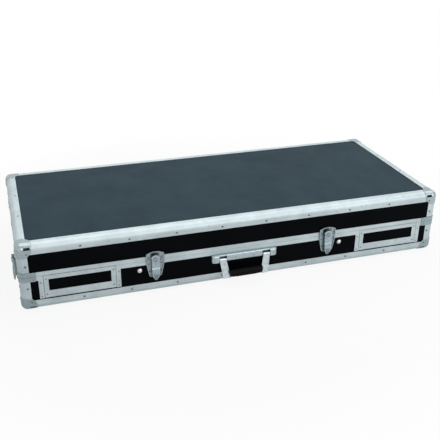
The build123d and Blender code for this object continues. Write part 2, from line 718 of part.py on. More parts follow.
def base_plate_outline():
    """Shield shape that narrows to a broad foot with a shallow point."""
    half = PLATE_W / 2
    right = [(half, -JOINT_GAP / 2), (half * 0.98, -12), (half * 0.89, -24), (half * 0.72, -42),
             (half * 0.64, PLATE_LOW + 3.5), (half * 0.2, PLATE_LOW)]
    shield = polygon(*right, *[(-x, z) for x, z in reversed(right)])
    corners = [v for v in shield.vertices() if PLATE_LOW + 3 < v.Y < PLATE_LOW + 4]
    return fillet(corners, 2.5)


def keeper_outline():
    """Straight sides under a shallow arch."""
    half = PLATE_W / 2
    arch = ThreePointArc((half, KEEPER_SHOULDER), (0, KEEPER_TOP), (-half, KEEPER_SHOULDER))
    low = JOINT_GAP * 1.5
    outline = make_face([arch, Polyline((-half, KEEPER_SHOULDER), (-half, low), (half, low),
                                        (half, KEEPER_SHOULDER))])
    return fillet([v for v in outline.vertices() if v.Y > 10], 2)


def dished_plate(outline, wall_side):
    """A stamped plate with a raised rim, packed out to the board beyond the rim extrusion."""
    plate = front_prism(outline, -SKIN_T, PLATE_RIM)
    plate -= front_prism(offset(outline, amount=-PLATE_RIM_W), PLATE_FLOOR, PLATE_RIM + 1)
    rail = (0, RAIL_H) if wall_side > 0 else (-RAIL_H, 0)
    plate -= block((-PLATE_W, PLATE_W), (0, SKIN_T + 1), rail)
    joint_side = (-1, PLATE_RIM_W + 1) if wall_side > 0 else (-PLATE_RIM_W - 1, 1)
    return plate - block((-LEVER_HALF - 2, LEVER_HALF + 2), (-PLATE_RIM - 1, -PLATE_FLOOR), joint_side)


def latch_plate():
    plate = dished_plate(base_plate_outline(), -1)
    inner = YOKE_W / 2 + 0.5
    ear = make_face([Line((0, YOKE_UP - 3.2), (YOKE_OUT, YOKE_UP - 3.2)),
                     ThreePointArc((YOKE_OUT, YOKE_UP - 3.2), (YOKE_OUT + 2.4, YOKE_UP), (YOKE_OUT, YOKE_UP + 2.6)),
                     Line((YOKE_OUT, YOKE_UP + 2.6), (0, YOKE_UP + 2.6)),
                     Line((0, YOKE_UP + 2.6), (0, YOKE_UP - 3.2))])
    for side in SIDES:
        plate += Pos(side * (inner + EAR_T / 2), 0, 0) * side_prism(ear, EAR_T / 2)
    reach = inner + EAR_T
    return plate + rod((-reach, -YOKE_OUT, YOKE_UP), (reach, -YOKE_OUT, YOKE_UP), LATCH_PIN_R)


def latch_keeper():
    """The lid's plate, with a window and an upstand that the hook reaches over."""
    plate = dished_plate(keeper_outline(), 1)
    plate -= block((-LEVER_HALF, LEVER_HALF), (-PLATE_RIM - 1, 0.3), (LIP_TOP - 1.2, KEEPER_TOP - 3.8))
    web = block((-LIP_HALF, LIP_HALF), (-LIP_IN - LIP_T, 0), (LIP_TOP - 3.8, LIP_TOP - 2.6))
    lip = block((-LIP_HALF, LIP_HALF), (-LIP_IN - LIP_T, -LIP_IN), (LIP_TOP - 3.8, LIP_TOP))
    return plate + web + lip


def lever_pin():
    """Stand-off and height of the pin that joins the lever to the yoke."""
    return YOKE_OUT - YOKE_TILT, YOKE_UP - YOKE_L


def latch_yoke():
    out, up = lever_pin()
    half = YOKE_W / 2
    strap = polygon((YOKE_OUT - YOKE_T / 2, YOKE_UP), (YOKE_OUT + YOKE_T / 2, YOKE_UP),
                    (out + YOKE_T / 2, up), (out - YOKE_T / 2, up))
    yoke = side_prism(strap, half)
    for stand_off, height in ((YOKE_OUT, YOKE_UP), (out, up)):
        yoke += rod((-half, -stand_off, height), (half, -stand_off, height), YOKE_EYE_R)
    for stand_off, height in ((YOKE_OUT, YOKE_UP), (out, up)):
        yoke -= rod((-half - 1, -stand_off, height), (half + 1, -stand_off, height), LATCH_PIN_R + PIN_CLEAR)
    return yoke


def lever_outline(inset):
    """The lever from the front: a shallow arch, a waist and a tail that ends in a blunt point."""
    half, waist = LEVER_HALF - inset, LEVER_WAIST - inset
    arch = ThreePointArc((half, LEVER_SHOULDER), (0, LEVER_TOP - inset), (-half, LEVER_SHOULDER))
    left = [(-half, LEVER_SHOULDER), (-waist, YOKE_UP), (-waist, -36), (-waist + 1.6, -45),
            (-2.6, LEVER_TIP + inset)]
    right = [(-x, z) for x, z in reversed(left)]
    outline = make_face([arch, Polyline(*left, *right)])
    return fillet([v for v in outline.vertices() if v.Y > 10], 3 - inset)


def lever_side(shell):
    """The lever from the side: a flat panel, a step out at the crease, and a tail that thins."""
    out = LEVER_OUT - shell
    top, foot = LEVER_TOP + 1, LEVER_TIP - 1
    tail = Spline((out + CREASE_STEP, CREASE - 4), (out + CREASE_STEP, -36), (LEVER_TIP_OUT - shell, foot))
    edges = [Polyline((out, top), (out, CREASE), (out + CREASE_STEP, CREASE - 4)), tail]
    if shell:
        edges.append(Polyline(tail @ 1, (0, foot), (0, top), (out, top)))
    else:
        back_tail = Spline((LEVER_TIP_OUT - 2.6, foot), (LEVER_TIP_OUT - 3.4, -47), (2.4, -36))
        edges += [Line(tail @ 1, back_tail @ 0), back_tail,
                  Polyline((2.4, -36), (2.4, 2), (6.2, 12), (6.2, top), (out, top))]
    return make_face(edges)


def latch_lever():
    """A hollow lever: its top hooks over the keeper and its tail is the thumb piece."""
    solid = front_prism(lever_outline(0), 0, 30) & side_prism(lever_side(0), PLATE_W / 2)
    hollow = front_prism(lever_outline(LEVER_SHELL), 0, 30) & side_prism(lever_side(LEVER_SHELL), PLATE_W / 2)
    hollow -= block((-PLATE_W, PLATE_W), (-40, 1), (LEVER_TIP - 2, -38))
    lever = solid - hollow
    inside_top = LEVER_TOP - LEVER_SHELL
    lever += block((-HOOK_HALF, HOOK_HALF), (-LIP_IN + 1.2, -2.2), (HOOK_LOW, inside_top + 0.6))
    lever += block((-HOOK_HALF, HOOK_HALF), (-LEVER_OUT + LEVER_SHELL, -2.2), (LIP_TOP + 1.0, inside_top + 0.6))
    out, up = lever_pin()
    boss, wall = YOKE_W / 2 + 0.5, LEVER_WAIST - LEVER_SHELL / 2
    for side in SIDES:
        x = span(side * boss, side * wall)
        lever += rod((x[0], -out, up), (x[1], -out, up), 1.9)
    lever += rod((-wall, -out, up), (wall, -out, up), LATCH_PIN_R)
    lever = grooved_tail(lever)
    seat = Plane(origin=(0, -LEVER_OUT, PLUG_UP), z_dir=(0, -1, 0))
    lever += seat * extrude(Circle(PLUG_RING_R) - Circle(PLUG_R + 0.2), amount=1.2)
    lever += seat * extrude(Circle(PLUG_RING_R - 0.8), amount=-4)
    return lever - seat * extrude(Circle(PLUG_R + PIN_CLEAR), amount=20, both=True)


def grooved_tail(lever):
    """Three shallow flutes down the thumb piece."""
    lift = FLUTE_R - FLUTE_DEPTH
    for x in (-5.2, 0, 5.2):
        start = (x, -LEVER_OUT - CREASE_STEP - lift, -37)
        lever -= rod(start, (x * 0.4, -LEVER_TIP_OUT - lift, LEVER_TIP - 2), FLUTE_R)
    return lever


def lock_plug():
    """The key barrel, with its keyway and a cam behind."""
    seat = Plane(origin=(0, -LEVER_OUT, PLUG_UP), z_dir=(0, -1, 0))
    plug = seat * extrude(Circle(PLUG_R), amount=0.8) + seat * extrude(Circle(PLUG_R), amount=-5)
    plug = fillet(plug.edges().group_by(Axis.Y)[0], 0.4)
    keyway = block((-0.5, 0.5), (-LEVER_OUT - 2, -LEVER_OUT + 2.5), (PLUG_UP - 2.6, PLUG_UP + 2.6))
    return plug - keyway


def plain_button():
    """The blank that fills the same hole where a latch has no lock."""
    seat = Plane(origin=(0, -LEVER_OUT, PLUG_UP), z_dir=(0, -1, 0))
    return seat * extrude(Circle(PLUG_R + PIN_CLEAR), amount=0.6) + seat * extrude(Circle(PLUG_R + PIN_CLEAR), amount=-3)


def latch_seats():
    """Name and place of each latch on its wall."""
    return {
        "front_left": Location((-LATCH_X, -HALF_D, JOINT)),
        "front_right": Location((LATCH_X, -HALF_D, JOINT)),
        "end_left": Location((-HALF_L, LATCH_Y, JOINT), (0, 0, -90)),
        "end_right": Location((HALF_L, LATCH_Y, JOINT), (0, 0, 90)),
    }


# Lid hinges, drawn at the origin on the back wall with the joint at z = 0

def hinge_leaf(up):
    """A cranked leaf: it lies on the rim's lip, then steps in to the board."""
    half = HINGE_W / 2
    rim = span(up * 0.2, up * RAIL_H)
    board = span(up * RAIL_H, up * HINGE_LEAF_H)
    leaf = block((-half, half), (0, HINGE_LEAF_T), rim)
    leaf += block((-half, half), (-SKIN_T, HINGE_LEAF_T), board)
    ends = leaf.edges().filter_by(Axis.Y).group_by(Axis.Z)
    return fillet(ends[-1] if up > 0 else ends[0], 5)


def knuckle_spans():
    step = HINGE_W / HINGE_KNUCKLES
    for i in range(HINGE_KNUCKLES):
        yield i, -HINGE_W / 2 + i * step + KNUCKLE_GAP / 2, -HINGE_W / 2 + (i + 1) * step - KNUCKLE_GAP / 2


def lid_hinge(moving):
    leaf = hinge_leaf(1 if moving else -1)
    own = 1 if moving else 0
    axis = HINGE_AXIS_OUT
    for i, a, b in knuckle_spans():
        room = block((a - KNUCKLE_GAP, b + KNUCKLE_GAP), (-SKIN_T - 1, axis + 10),
                     (-HINGE_KNUCKLE_R - KNUCKLE_GAP, HINGE_KNUCKLE_R + KNUCKLE_GAP))
        if i % 2 == own:
            leaf += rod((a, axis, 0), (b, axis, 0), HINGE_KNUCKLE_R)
            web = (0, HINGE_KNUCKLE_R + 1) if moving else (-HINGE_KNUCKLE_R - 1, 0)
            leaf += block((a, b), (HINGE_LEAF_T - 1.5, axis), web)
        else:
            leaf -= room
    pin = (-HINGE_W / 2, axis, 0), (HINGE_W / 2, axis, 0)
    if moving:
        for lug in stop_lugs():
            leaf += lug
        return leaf - rod(*pin, HINGE_PIN_R + PIN_CLEAR)
    return leaf + rod(*pin, HINGE_PIN_R)


def stop_lugs():
    """Lugs that come down on the base leaf when the lid stands open."""
    down = HINGE_LEAF_T - HINGE_AXIS_OUT
    bar = block((-STOP_W / 2, STOP_W / 2), (down + 0.4, down + 0.4 + STOP_T), (-STOP_L, 0))
    lugs = []
    for i, a, b in knuckle_spans():
        if i % 2 == 1:
            lug = Pos((a + b) / 2, HINGE_AXIS_OUT, 0) * Rot(STOP_ANGLE, 0, 0) * bar
            lugs.append(lug)
    return lugs


def hinge_seats():
    return [Location((x, HALF_D, JOINT)) for x in (-HINGE_X, 0, HINGE_X)]


def write_base():
    save("base_bottom_panel", bottom_board())
    save("base_front_panel", front_board())
    save("base_back_panel", bored_for_bolts(wall_board(1, BOTTOM + EDGE_R, BASE_BOARD_TOP)))
    save("base_left_panel", end_board(-1, BOTTOM + EDGE_R, BASE_BOARD_TOP))
    save("base_right_panel", end_board(1, BOTTOM + EDGE_R, BASE_BOARD_TOP))
    save("base_edge_front", long_edge(-1, BOTTOM, 1))
    save("base_edge_back", long_edge(1, BOTTOM, 1))
    save("base_edge_left", short_edge(-1, BOTTOM, 1))
    save("base_edge_right", short_edge(1, BOTTOM, 1))
    save("base_corner_posts", *corner_posts(BOTTOM, JOINT - RAIL_H, (True, False)))
    front, back, left, right = mitred_lengths(base_rim())
    for bay in flap_bays(FLAP_GAP + SKIN_T, SILL):
        front -= bay
    save("base_rail_front", front)
    save("base_rail_back", back)
    save("base_rail_sides", left, right)
    save("base_ball_corners", *base_ball_corners())
    save("base_rail_corners", *rim_corner(JOINT - RAIL_H - 1, JOINT - 0.2))
    save("flap_jamb_strips", *jamb_strips())
    save("flap_ball_catches", *ball_catches())
    save("flap_hinge_fixed_leaves", *both_sides(flap_leaf(False)))
    save("divider_left", divider(-1))
    save("divider_right", divider(1))
    save("divider_bolts", *dome_bolts())
    save("bay_pads", *bay_pads())
    save("bay_linings", *bay_linings())
    save("rubber_feet", *rubber_feet())
    save("foot_screws", *foot_screws())
    save("handle_bracket", handle_bracket())
    save("lid_hinge_base_leaves", *[seat * lid_hinge(False) for seat in hinge_seats()])


def write_lid():
    save("lid_top_panel", flat_board(TOP - BOARD_IN))
    for name, side in (("front", -1), ("back", 1)):
        save("lid_" + name + "_panel", wall_board(side, LID_BOARD_LOW, TOP - EDGE_R))
        save("lid_edge_" + name, long_edge(side, TOP, -1))
    for name, side in (("left", -1), ("right", 1)):
        save("lid_" + name + "_panel", end_board(side, LID_BOARD_LOW, TOP - EDGE_R))
        save("lid_edge_" + name, short_edge(side, TOP, -1))
    save("lid_corner_posts", *corner_posts(JOINT + RAIL_H, TOP, (False, True)))
    save("lid_rails", *mitred_lengths(lid_rim()))
    save("lid_ball_corners", *lid_ball_corners())
    save("lid_rail_corners", *rim_corner(JOINT + JOINT_GAP + 0.2, JOINT + RAIL_H + 1))
    save("lid_foam", lid_foam())
    save("lid_hinge_leaves", *[seat * lid_hinge(True) for seat in hinge_seats()])


def write_moving():
    board, frame, leaf = flap_board(FLAP_FIT), flap_frame(), flap_leaf(True)
    save("flap_right_panel", board)
    save("flap_left_panel", mirror(board, about=Plane.YZ))
    save("flap_right_frame", *frame, leaf)
    save("flap_left_frame", *[mirror(piece, about=Plane.YZ) for piece in (*frame, leaf)])
    arms = handle_arms()
    save("handle_arms", *arms)
    save("handle_grip", handle_grip(arms))
    plate, keeper, yoke, lever, plug = latch_plate(), latch_keeper(), latch_yoke(), latch_lever(), lock_plug()
    seats = latch_seats()
    save("latch_plates", *[seat * plate for seat in seats.values()])
    save("latch_keepers", *[seat * keeper for seat in seats.values()])
    for name, seat in seats.items():
        save("latch_yoke_" + name, seat * yoke)
        locked = name.startswith("front")
        save("latch_lever_" + name, seat * (lever if locked else lever + plain_button()))
        if locked:
            save("lock_plug_" + name, seat * plug)


# The origin lies under the middle of the whole box, from the grip in front to the hinges behind
BACK_SHIFT = (GRIP_OUT + GRIP_R - lid_hinge(True).bounding_box().max.Y) / 2

os.makedirs("parts", exist_ok=True)
write_base()
write_lid()
write_moving()
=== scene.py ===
# %% [markdown]
# A long, flat console case stands closed on a pale floor. Its working solids arrive from the
# construction model, which fixes every size and place. This file gives them their finishes,
# adds the small pieces that the solids leave out, such as rivets and cut foam, and then sets
# the light and the camera. A new scene starts with a cube, a lamp and a camera, which go.

# %% Load the construction model
import math

import bmesh
import bpy
from mathutils import Euler, Matrix, Vector, noise


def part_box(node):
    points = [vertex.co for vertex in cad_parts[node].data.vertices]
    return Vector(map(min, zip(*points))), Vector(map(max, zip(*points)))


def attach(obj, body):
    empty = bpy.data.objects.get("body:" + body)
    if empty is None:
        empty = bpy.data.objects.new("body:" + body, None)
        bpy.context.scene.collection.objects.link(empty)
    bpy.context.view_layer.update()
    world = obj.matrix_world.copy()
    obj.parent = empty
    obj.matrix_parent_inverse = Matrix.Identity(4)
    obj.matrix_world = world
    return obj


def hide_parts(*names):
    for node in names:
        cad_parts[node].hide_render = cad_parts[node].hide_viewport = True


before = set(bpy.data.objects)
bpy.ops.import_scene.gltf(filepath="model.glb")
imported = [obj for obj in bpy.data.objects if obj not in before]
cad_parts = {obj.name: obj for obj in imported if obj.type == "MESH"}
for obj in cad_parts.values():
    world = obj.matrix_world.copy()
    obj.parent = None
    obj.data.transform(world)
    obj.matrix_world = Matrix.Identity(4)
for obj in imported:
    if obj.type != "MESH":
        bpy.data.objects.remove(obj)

for spare in ("Cube", "Light", "Camera"):
    if spare in bpy.data.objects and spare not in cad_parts:
        bpy.data.objects.remove(bpy.data.objects[spare])
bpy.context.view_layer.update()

# %% [markdown]
# Sizes are thought of in millimetres, and the scene is measured in metres, so one value
# turns the first into the second. The main planes of the case are read from the solids, so a piece
# that sits on a wall can't drift away from it. Only the level where the lid meets the base
# is typed, because the tongue of one rim stands up into the other and hides it from a box.

# %% Where the walls are
MM = 0.001
low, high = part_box("base_rail_sides")
LEFT_END, RIGHT_END = low.x, high.x
low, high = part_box("lid_rails")
FRONT, BACK = low.y, high.y
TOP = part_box("lid_edge_front")[1].z
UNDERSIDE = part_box("base_edge_front")[0].z
BASE_HEIGHT = 95.5 * MM
JOINT = UNDERSIDE + BASE_HEIGHT
MIDDLE_Y = (FRONT + BACK) / 2
print("ends and walls:", [round(v, 4) for v in (LEFT_END, RIGHT_END, FRONT, BACK)])
print("levels:", [round(v, 4) for v in (UNDERSIDE, JOINT, TOP)])

# %% [markdown]
# A colour is written as it is seen on a screen, as a hex value. Shaders reckon in linear
# light, so one function makes that change. A second one adds a shader node, sets what is
# given as a number, and joins what is given as another node's output. The rest are steps
# that most finishes share. Patterns lie in the object's own coordinates, because those are in
# metres and move with the piece, so a pattern keeps its real size and its place on it.

# %% Colour and node helpers
def colour(hex_value):
    """An sRGB hex value as linear red, green, blue and alpha."""
    channels = [int(hex_value[i:i + 2], 16) / 255 for i in (1, 3, 5)]
    linear = [c / 12.92 if c <= 0.04045 else ((c + 0.055) / 1.055) ** 2.4 for c in channels]
    return (*linear, 1.0)


def add(tree, kind, inputs=None, **settings):
    """Adds one node with its settings, and its inputs as numbers or as links."""
    made = tree.nodes.new(kind)
    for name, value in settings.items():
        setattr(made, name, value)
    for name, value in (inputs or {}).items():
        if isinstance(value, bpy.types.NodeSocket):
            tree.links.new(value, made.inputs[name])
        else:
            made.inputs[name].default_value = value
    return made


def start_material(name, hex_value, metallic, roughness, specular=0.5):
    """A new material, its node tree, its shader and the object's own coordinates."""
    made = bpy.data.materials.new(name)
    made.use_nodes = True
    tree = made.node_tree
    shader = tree.nodes["Principled BSDF"]
    shader.inputs["Base Color"].default_value = colour(hex_value)
    shader.inputs["Metallic"].default_value = metallic
    shader.inputs["Roughness"].default_value = roughness
    shader.inputs["Specular IOR Level"].default_value = specular
    place = add(tree, "ShaderNodeTexCoord").outputs["Object"]
    return made, tree, shader, place


def cloudy(place, size, detail=3.0, rough=0.55):
    """Settings of a noise whose blotches are about that many metres across."""
    return {"Vector": place, "Scale": 1 / size, "Detail": detail, "Roughness": rough}


def two_tones(tree, shader, amount, dark, light, start=0.35, stop=0.65):
    """Feeds the base colour from a dark to a light tone as amount rises."""
    ramp = add(tree, "ShaderNodeValToRGB", {"Fac": amount})
    ramp.color_ramp.elements[0].position = start
    ramp.color_ramp.elements[0].color = colour(dark)
    ramp.color_ramp.elements[1].position = stop
    ramp.color_ramp.elements[1].color = colour(light)
    tree.links.new(ramp.outputs["Color"], shader.inputs["Base Color"])
    return ramp


def vary_roughness(tree, shader, amount, low, high):
    """Feeds the roughness between two values as amount goes from 0 to 1."""
    spread = {"Value": amount, "To Min": low, "To Max": high}
    result = add(tree, "ShaderNodeMapRange", spread).outputs["Result"]
    tree.links.new(result, shader.inputs["Roughness"])


def relief(tree, shader, height, depth, strength=1.0):
    """Bump from a height pattern that is depth metres deep."""
    bump = add(tree, "ShaderNodeBump", {"Height": height, "Distance": depth, "Strength": strength})
    tree.links.new(bump.outputs["Normal"], shader.inputs["Normal"])


def lay_over(tree, shader, amount, hex_value):
    """Lays a colour over the shader's own one, as far as amount says."""
    under = shader.inputs["Base Color"].links[0].from_socket
    both = {0: amount, 6: under, 7: colour(hex_value)}
    mixed = add(tree, "ShaderNodeMix", both, data_type="RGBA").outputs[2]
    tree.links.new(mixed, shader.inputs["Base Color"])


print("sRGB mid grey in linear light:", round(colour("#808080")[0], 3))

# %% [markdown]
# Every finish gets the same two marks. Edges are rubbed by hands, straps and van floors, so
# they turn lighter, in patches and not in a clean line. Corners and the places under fittings
# get painted shade: their colour is darkened where little light reaches. Wear could be painted
# by hand, but then each piece would need its own map. Here the shader finds the places itself:
# an edge is where a rounded-off normal leaves the true one, and a corner is where little of
# the sky can be seen. The patches are noise about 14 mm across, the width of a thumb.

# %% Rubbed edges and painted shade in corners
THUMB = 14 * MM


def worn_and_shaded(tree, shader, place, rubbed, painted_shade, width=1.0 * MM, reach=5 * MM, rub=0.7, shade_strength=0.7, deep=0.3):
    """Lightens edges in patches, and paints shade on what sees less of the sky, fully at deep."""
    rounded = add(tree, "ShaderNodeBevel", {"Radius": width}, samples=4).outputs["Normal"]
    true = add(tree, "ShaderNodeNewGeometry").outputs["Normal"]
    match = add(tree, "ShaderNodeVectorMath", {0: rounded, 1: true}, operation="DOT_PRODUCT")
    sharp = {"Value": match.outputs["Value"], "From Min": 0.99, "From Max": 0.85, "To Max": rub}
    edge = add(tree, "ShaderNodeMapRange", sharp).outputs["Result"]
    patches = add(tree, "ShaderNodeTexNoise", cloudy(place, THUMB, 5.0, 0.6)).outputs["Fac"]
    bare = {"Value": patches, "From Min": 0.38, "From Max": 0.6}
    broken = add(tree, "ShaderNodeMapRange", bare).outputs["Result"]
    worn = add(tree, "ShaderNodeMath", {0: edge, 1: broken}, operation="MULTIPLY").outputs[0]
    lay_over(tree, shader, worn, rubbed)
    # Painted shade: the colour darkens where the ambient occlusion finds little open sky.
    sky = add(tree, "ShaderNodeAmbientOcclusion", {"Distance": reach}, samples=4).outputs["AO"]
    hidden = {"Value": sky, "From Min": 0.9, "From Max": deep, "To Max": shade_strength}
    lay_over(tree, shader, add(tree, "ShaderNodeMapRange", hidden).outputs["Result"], painted_shade)

# %% [markdown]
# The edge profiles are extruded aluminium with a satin anodised skin. Aluminium that is
# pushed through a die keeps faint lines along its length, half a millimetre or so apart, and
# the anodising above them is matt and slightly blue. The lines are noise that is stretched
# along the bar, 0.7 mm across and 160 mm along, which is a little coarser than real so that
# it shows. A bar that runs another way needs its lines turned, so there is one finish for
# each direction of the case. Transport leaves small grey scuffs, which are another noise
# that is cut off high, so only its peaks show.

# %% Anodised aluminium extrusion
DIE_LINE = 0.7 * MM
LINE_LENGTH = 160 * MM


def anodised_aluminium(name, run):
    """Satin anodised aluminium with die lines along one axis, and scuffs."""
    made, tree, shader, place = start_material(name, "#BFCBCF", 1.0, 0.4)
    per_metre = [1 / DIE_LINE] * 3
    per_metre[run] = 1 / LINE_LENGTH
    stretched = add(tree, "ShaderNodeVectorMath", {0: place, 1: per_metre}, operation="MULTIPLY")
    drawn = {"Vector": stretched.outputs[0], "Scale": 1.0, "Detail": 2.0}
    lines = add(tree, "ShaderNodeTexNoise", drawn).outputs["Fac"]
    cloud = add(tree, "ShaderNodeTexNoise", cloudy(place, 45 * MM)).outputs["Fac"]
    both = add(tree, "ShaderNodeMath", {0: lines, 1: cloud}, operation="ADD").outputs[0]
    half = add(tree, "ShaderNodeMath", {0: both, 1: 0.5}, operation="MULTIPLY").outputs[0]
    two_tones(tree, shader, half, "#BDCACE", "#CFDBDE", 0.4, 0.6)
    knocks = add(tree, "ShaderNodeTexNoise", cloudy(place, 11 * MM, 6.0, 0.7)).outputs["Fac"]
    peaks = {"Value": knocks, "From Min": 0.6, "From Max": 0.72}
    lay_over(tree, shader, add(tree, "ShaderNodeMapRange", peaks).outputs["Result"], "#9FADB2")
    worn_and_shaded(tree, shader, place, "#EEF3F4", "#5B6A70")
    vary_roughness(tree, shader, half, 0.44, 0.6)
    relief(tree, shader, lines, 0.02 * MM, 0.5)
    return made, tree, shader, place


ALUMINIUM_X, ALUMINIUM_Y, ALUMINIUM_Z = [
    anodised_aluminium("anodised_aluminium_" + "xyz"[run], run)[0] for run in (0, 1, 2)]
print("aluminium finishes:", ALUMINIUM_X.name, ALUMINIUM_Y.name, ALUMINIUM_Z.name)

# %% [markdown]
# A flap is framed in the same aluminium, but the leaf of its hinge is blackened steel, and it
# lies along the frame's foot, 30.3 mm above the case's underside. Both come as one object, so
# the finish asks for the height: what is lower than the frame's foot is dark. The height is
# read in the flap's own coordinates, so the leaf stays dark when the flap drops.

# %% Flap frames with their dark hinge leaves
def framed_flap(foot):
    """Anodised aluminium above a level of the flap, and blackened steel below it."""
    made, tree, shader, place = anodised_aluminium("flap_frame_aluminium", 0)
    height = add(tree, "ShaderNodeSeparateXYZ", {"Vector": place}).outputs["Z"]
    under = add(tree, "ShaderNodeMath", {0: height, 1: foot}, operation="LESS_THAN").outputs[0]
    lay_over(tree, shader, under, "#1D2225")
    return made


FRAME_FOOT = 30.3 * MM
FLAP_FRAME = framed_flap(UNDERSIDE + FRAME_FOOT)
print("flap finish:", FLAP_FRAME.name)

# %% [markdown]
# The boards are birch plywood under a hard laminate. Its surface is pressed with a very fine
# pebble, about 0.6 mm across, so it is satin rather than glossy. Handling leaves broad, faint
# clouds in its sheen. In the photograph the lid's top is slate blue and the walls are near
# black, which one tone can't give under one light, so one laminate has two tones: the top's
# is painted light, and the walls' painted shade. Both reflect far less than plastic does,
# because what faces the case in the photograph is dark, and the even light here has nothing
# dark for them to reflect.

# %% Pressed laminate
PEBBLE = 0.6 * MM


def pressed_laminate(name, dark, light, rubbed, roughness, specular):
    """Satin laminate on plywood, with a fine pebble and faint clouds of handling."""
    made, tree, shader, place = start_material(name, light, 0.0, roughness, specular)
    cloud = add(tree, "ShaderNodeTexNoise", cloudy(place, 110 * MM, 4.0)).outputs["Fac"]
    two_tones(tree, shader, cloud, dark, light, 0.3, 0.7)
    handled = add(tree, "ShaderNodeTexNoise", cloudy(place, 35 * MM)).outputs["Fac"]
    vary_roughness(tree, shader, handled, roughness - 0.06, roughness + 0.08)
    cells = {"Vector": place, "Scale": 1 / PEBBLE}
    pebble = add(tree, "ShaderNodeTexVoronoi", cells, feature="SMOOTH_F1").outputs["Distance"]
    relief(tree, shader, pebble, 0.03 * MM, 0.4)
    worn_and_shaded(tree, shader, place, rubbed, "#020203", 1.5 * MM, 6 * MM, 0.5, 0.8)
    return made


# One laminate in two tones: the top's lighter one is painted light, the walls' darker one painted
# shade.
TOP_LAMINATE = pressed_laminate("laminate_painted_lit_top", "#273A44", "#30454F", "#5A6B74", 0.5, 0.07)
WALL_LAMINATE = pressed_laminate("laminate_painted_shaded_walls", "#020304", "#05070C", "#1E2226", 0.4, 0.035)
print("laminates:", TOP_LAMINATE.name, WALL_LAMINATE.name)

# %% [markdown]
# The dividers are the same board, but their top edges are bare, and there the veneers show:
# light birch with a darker glue line every 1.2 mm. The layers could be modelled as thin
# boards, but nothing of them is seen apart from their edges, so they are bands across the
# board's thickness. The shader asks which way the surface faces, and puts laminate on the two
# broad sides only.

# %% Plywood with bare edges
VENEER = 1.2 * MM
GLUE_LINE = 0.35 * MM


def laminated_plywood():
    """Laminate on the faces that look along X, and birch veneers on the cut edges."""
    made, tree, shader, place = start_material("laminated_plywood", "#121417", 0.0, 0.6, 0.3)
    across = add(tree, "ShaderNodeSeparateXYZ", {"Vector": place}).outputs["X"]
    layer = add(tree, "ShaderNodeMath", {0: across, 1: VENEER}, operation="PINGPONG").outputs[0]
    bands = add(tree, "ShaderNodeMapRange", {"Value": layer, "From Max": GLUE_LINE}).outputs["Result"]
    grain = add(tree, "ShaderNodeTexNoise", cloudy(place, 2.5 * MM)).outputs["Fac"]
    tone = add(tree, "ShaderNodeMath", {0: bands, 1: grain}, operation="MULTIPLY").outputs[0]
    two_tones(tree, shader, tone, "#8A6A42", "#E2C594", 0.0, 1.0)
    normal = add(tree, "ShaderNodeNewGeometry").outputs["Normal"]
    facing = add(tree, "ShaderNodeSeparateXYZ", {"Vector": normal}).outputs["X"]
    broad = add(tree, "ShaderNodeMath", {0: facing}, operation="ABSOLUTE").outputs[0]
    side = add(tree, "ShaderNodeMath", {0: broad, 1: 0.7}, operation="GREATER_THAN").outputs[0]
    lay_over(tree, shader, side, "#121417")
    worn_and_shaded(tree, shader, place, "#B9996A", "#1A1511", 0.8 * MM, 6 * MM, 0.4, 0.6)
    relief(tree, shader, grain, 0.05 * MM, 0.4)
    return made


PLYWOOD = laminated_plywood()
print("divider finish:", PLYWOOD.name)

# %% [markdown]
# The corners, latches, hinges and brackets are pressed from steel sheet and zinc plated.
# Bright zinc is a cooler, darker grey than aluminium, and its crystals give it a mottle about
# 3 mm across, with wiping scratches ten times finer. The scratches are drawn at 0.4 mm, or
# they would vanish. All fittings are one finish with other tones: those that hands move are
# smoother and lighter, rivets are dull with age, and the flaps' hinges are blackened.

# %% Zinc-plated steel
CRYSTAL = 3 * MM
SCRATCH = 0.4 * MM


def zinc_plate(name, dark, light, smooth, rough, rubbed="#E3EAED", painted_shade="#2B353C", deep=0.3):
    """Bright zinc on pressed steel, with a mottle of crystals and fine scratches."""
    made, tree, shader, place = start_material(name, light, 1.0, rough)
    cells = {"Vector": place, "Scale": 1 / CRYSTAL}
    crystals = add(tree, "ShaderNodeTexVoronoi", cells, feature="SMOOTH_F1").outputs["Distance"]
    cloud = add(tree, "ShaderNodeTexNoise", cloudy(place, 9 * MM)).outputs["Fac"]
    mottle = add(tree, "ShaderNodeMath", {0: crystals, 1: cloud}, operation="MULTIPLY").outputs[0]
    two_tones(tree, shader, mottle, light, dark, 0.1, 0.45)
    wiped = add(tree, "ShaderNodeTexNoise", cloudy(place, 5 * MM)).outputs["Fac"]
    vary_roughness(tree, shader, wiped, smooth, rough)
    scratches = add(tree, "ShaderNodeTexNoise", cloudy(place, SCRATCH, 2.0)).outputs["Fac"]
    relief(tree, shader, scratches, 0.012 * MM, 0.6)
    worn_and_shaded(tree, shader, place, rubbed, painted_shade, 0.6 * MM, 7 * MM, 0.8, 0.85, deep)
    return made


print("crystals and scratches:", CRYSTAL, SCRATCH)

# %% [markdown]
# What slants is given painted shade: the levers' ledges and the flanks of their flutes are
# darkened. They could be picked out face by face, but the shader can ask whether a place
# faces squarely along X or Y, and darken it the more it doesn't.

# %% The tones of zinc
def shade_painted_on_slants(made, painted_shade, most):
    """Paints shade on whatever doesn't face squarely along X or Y."""
    tree = made.node_tree
    facing = add(tree, "ShaderNodeTexCoord").outputs["Normal"]
    facing = add(tree, "ShaderNodeVectorMath", {0: facing}, operation="ABSOLUTE").outputs[0]
    facing = add(tree, "ShaderNodeSeparateXYZ", {"Vector": facing}).outputs
    larger = {0: facing["X"], 1: facing["Y"]}
    square = add(tree, "ShaderNodeMath", larger, operation="MAXIMUM").outputs[0]
    lean = {"Value": square, "From Min": 0.97, "From Max": 0.75, "To Max": most}
    slanting = add(tree, "ShaderNodeMapRange", lean).outputs["Result"]
    lay_over(tree, tree.nodes["Principled BSDF"], slanting, painted_shade)


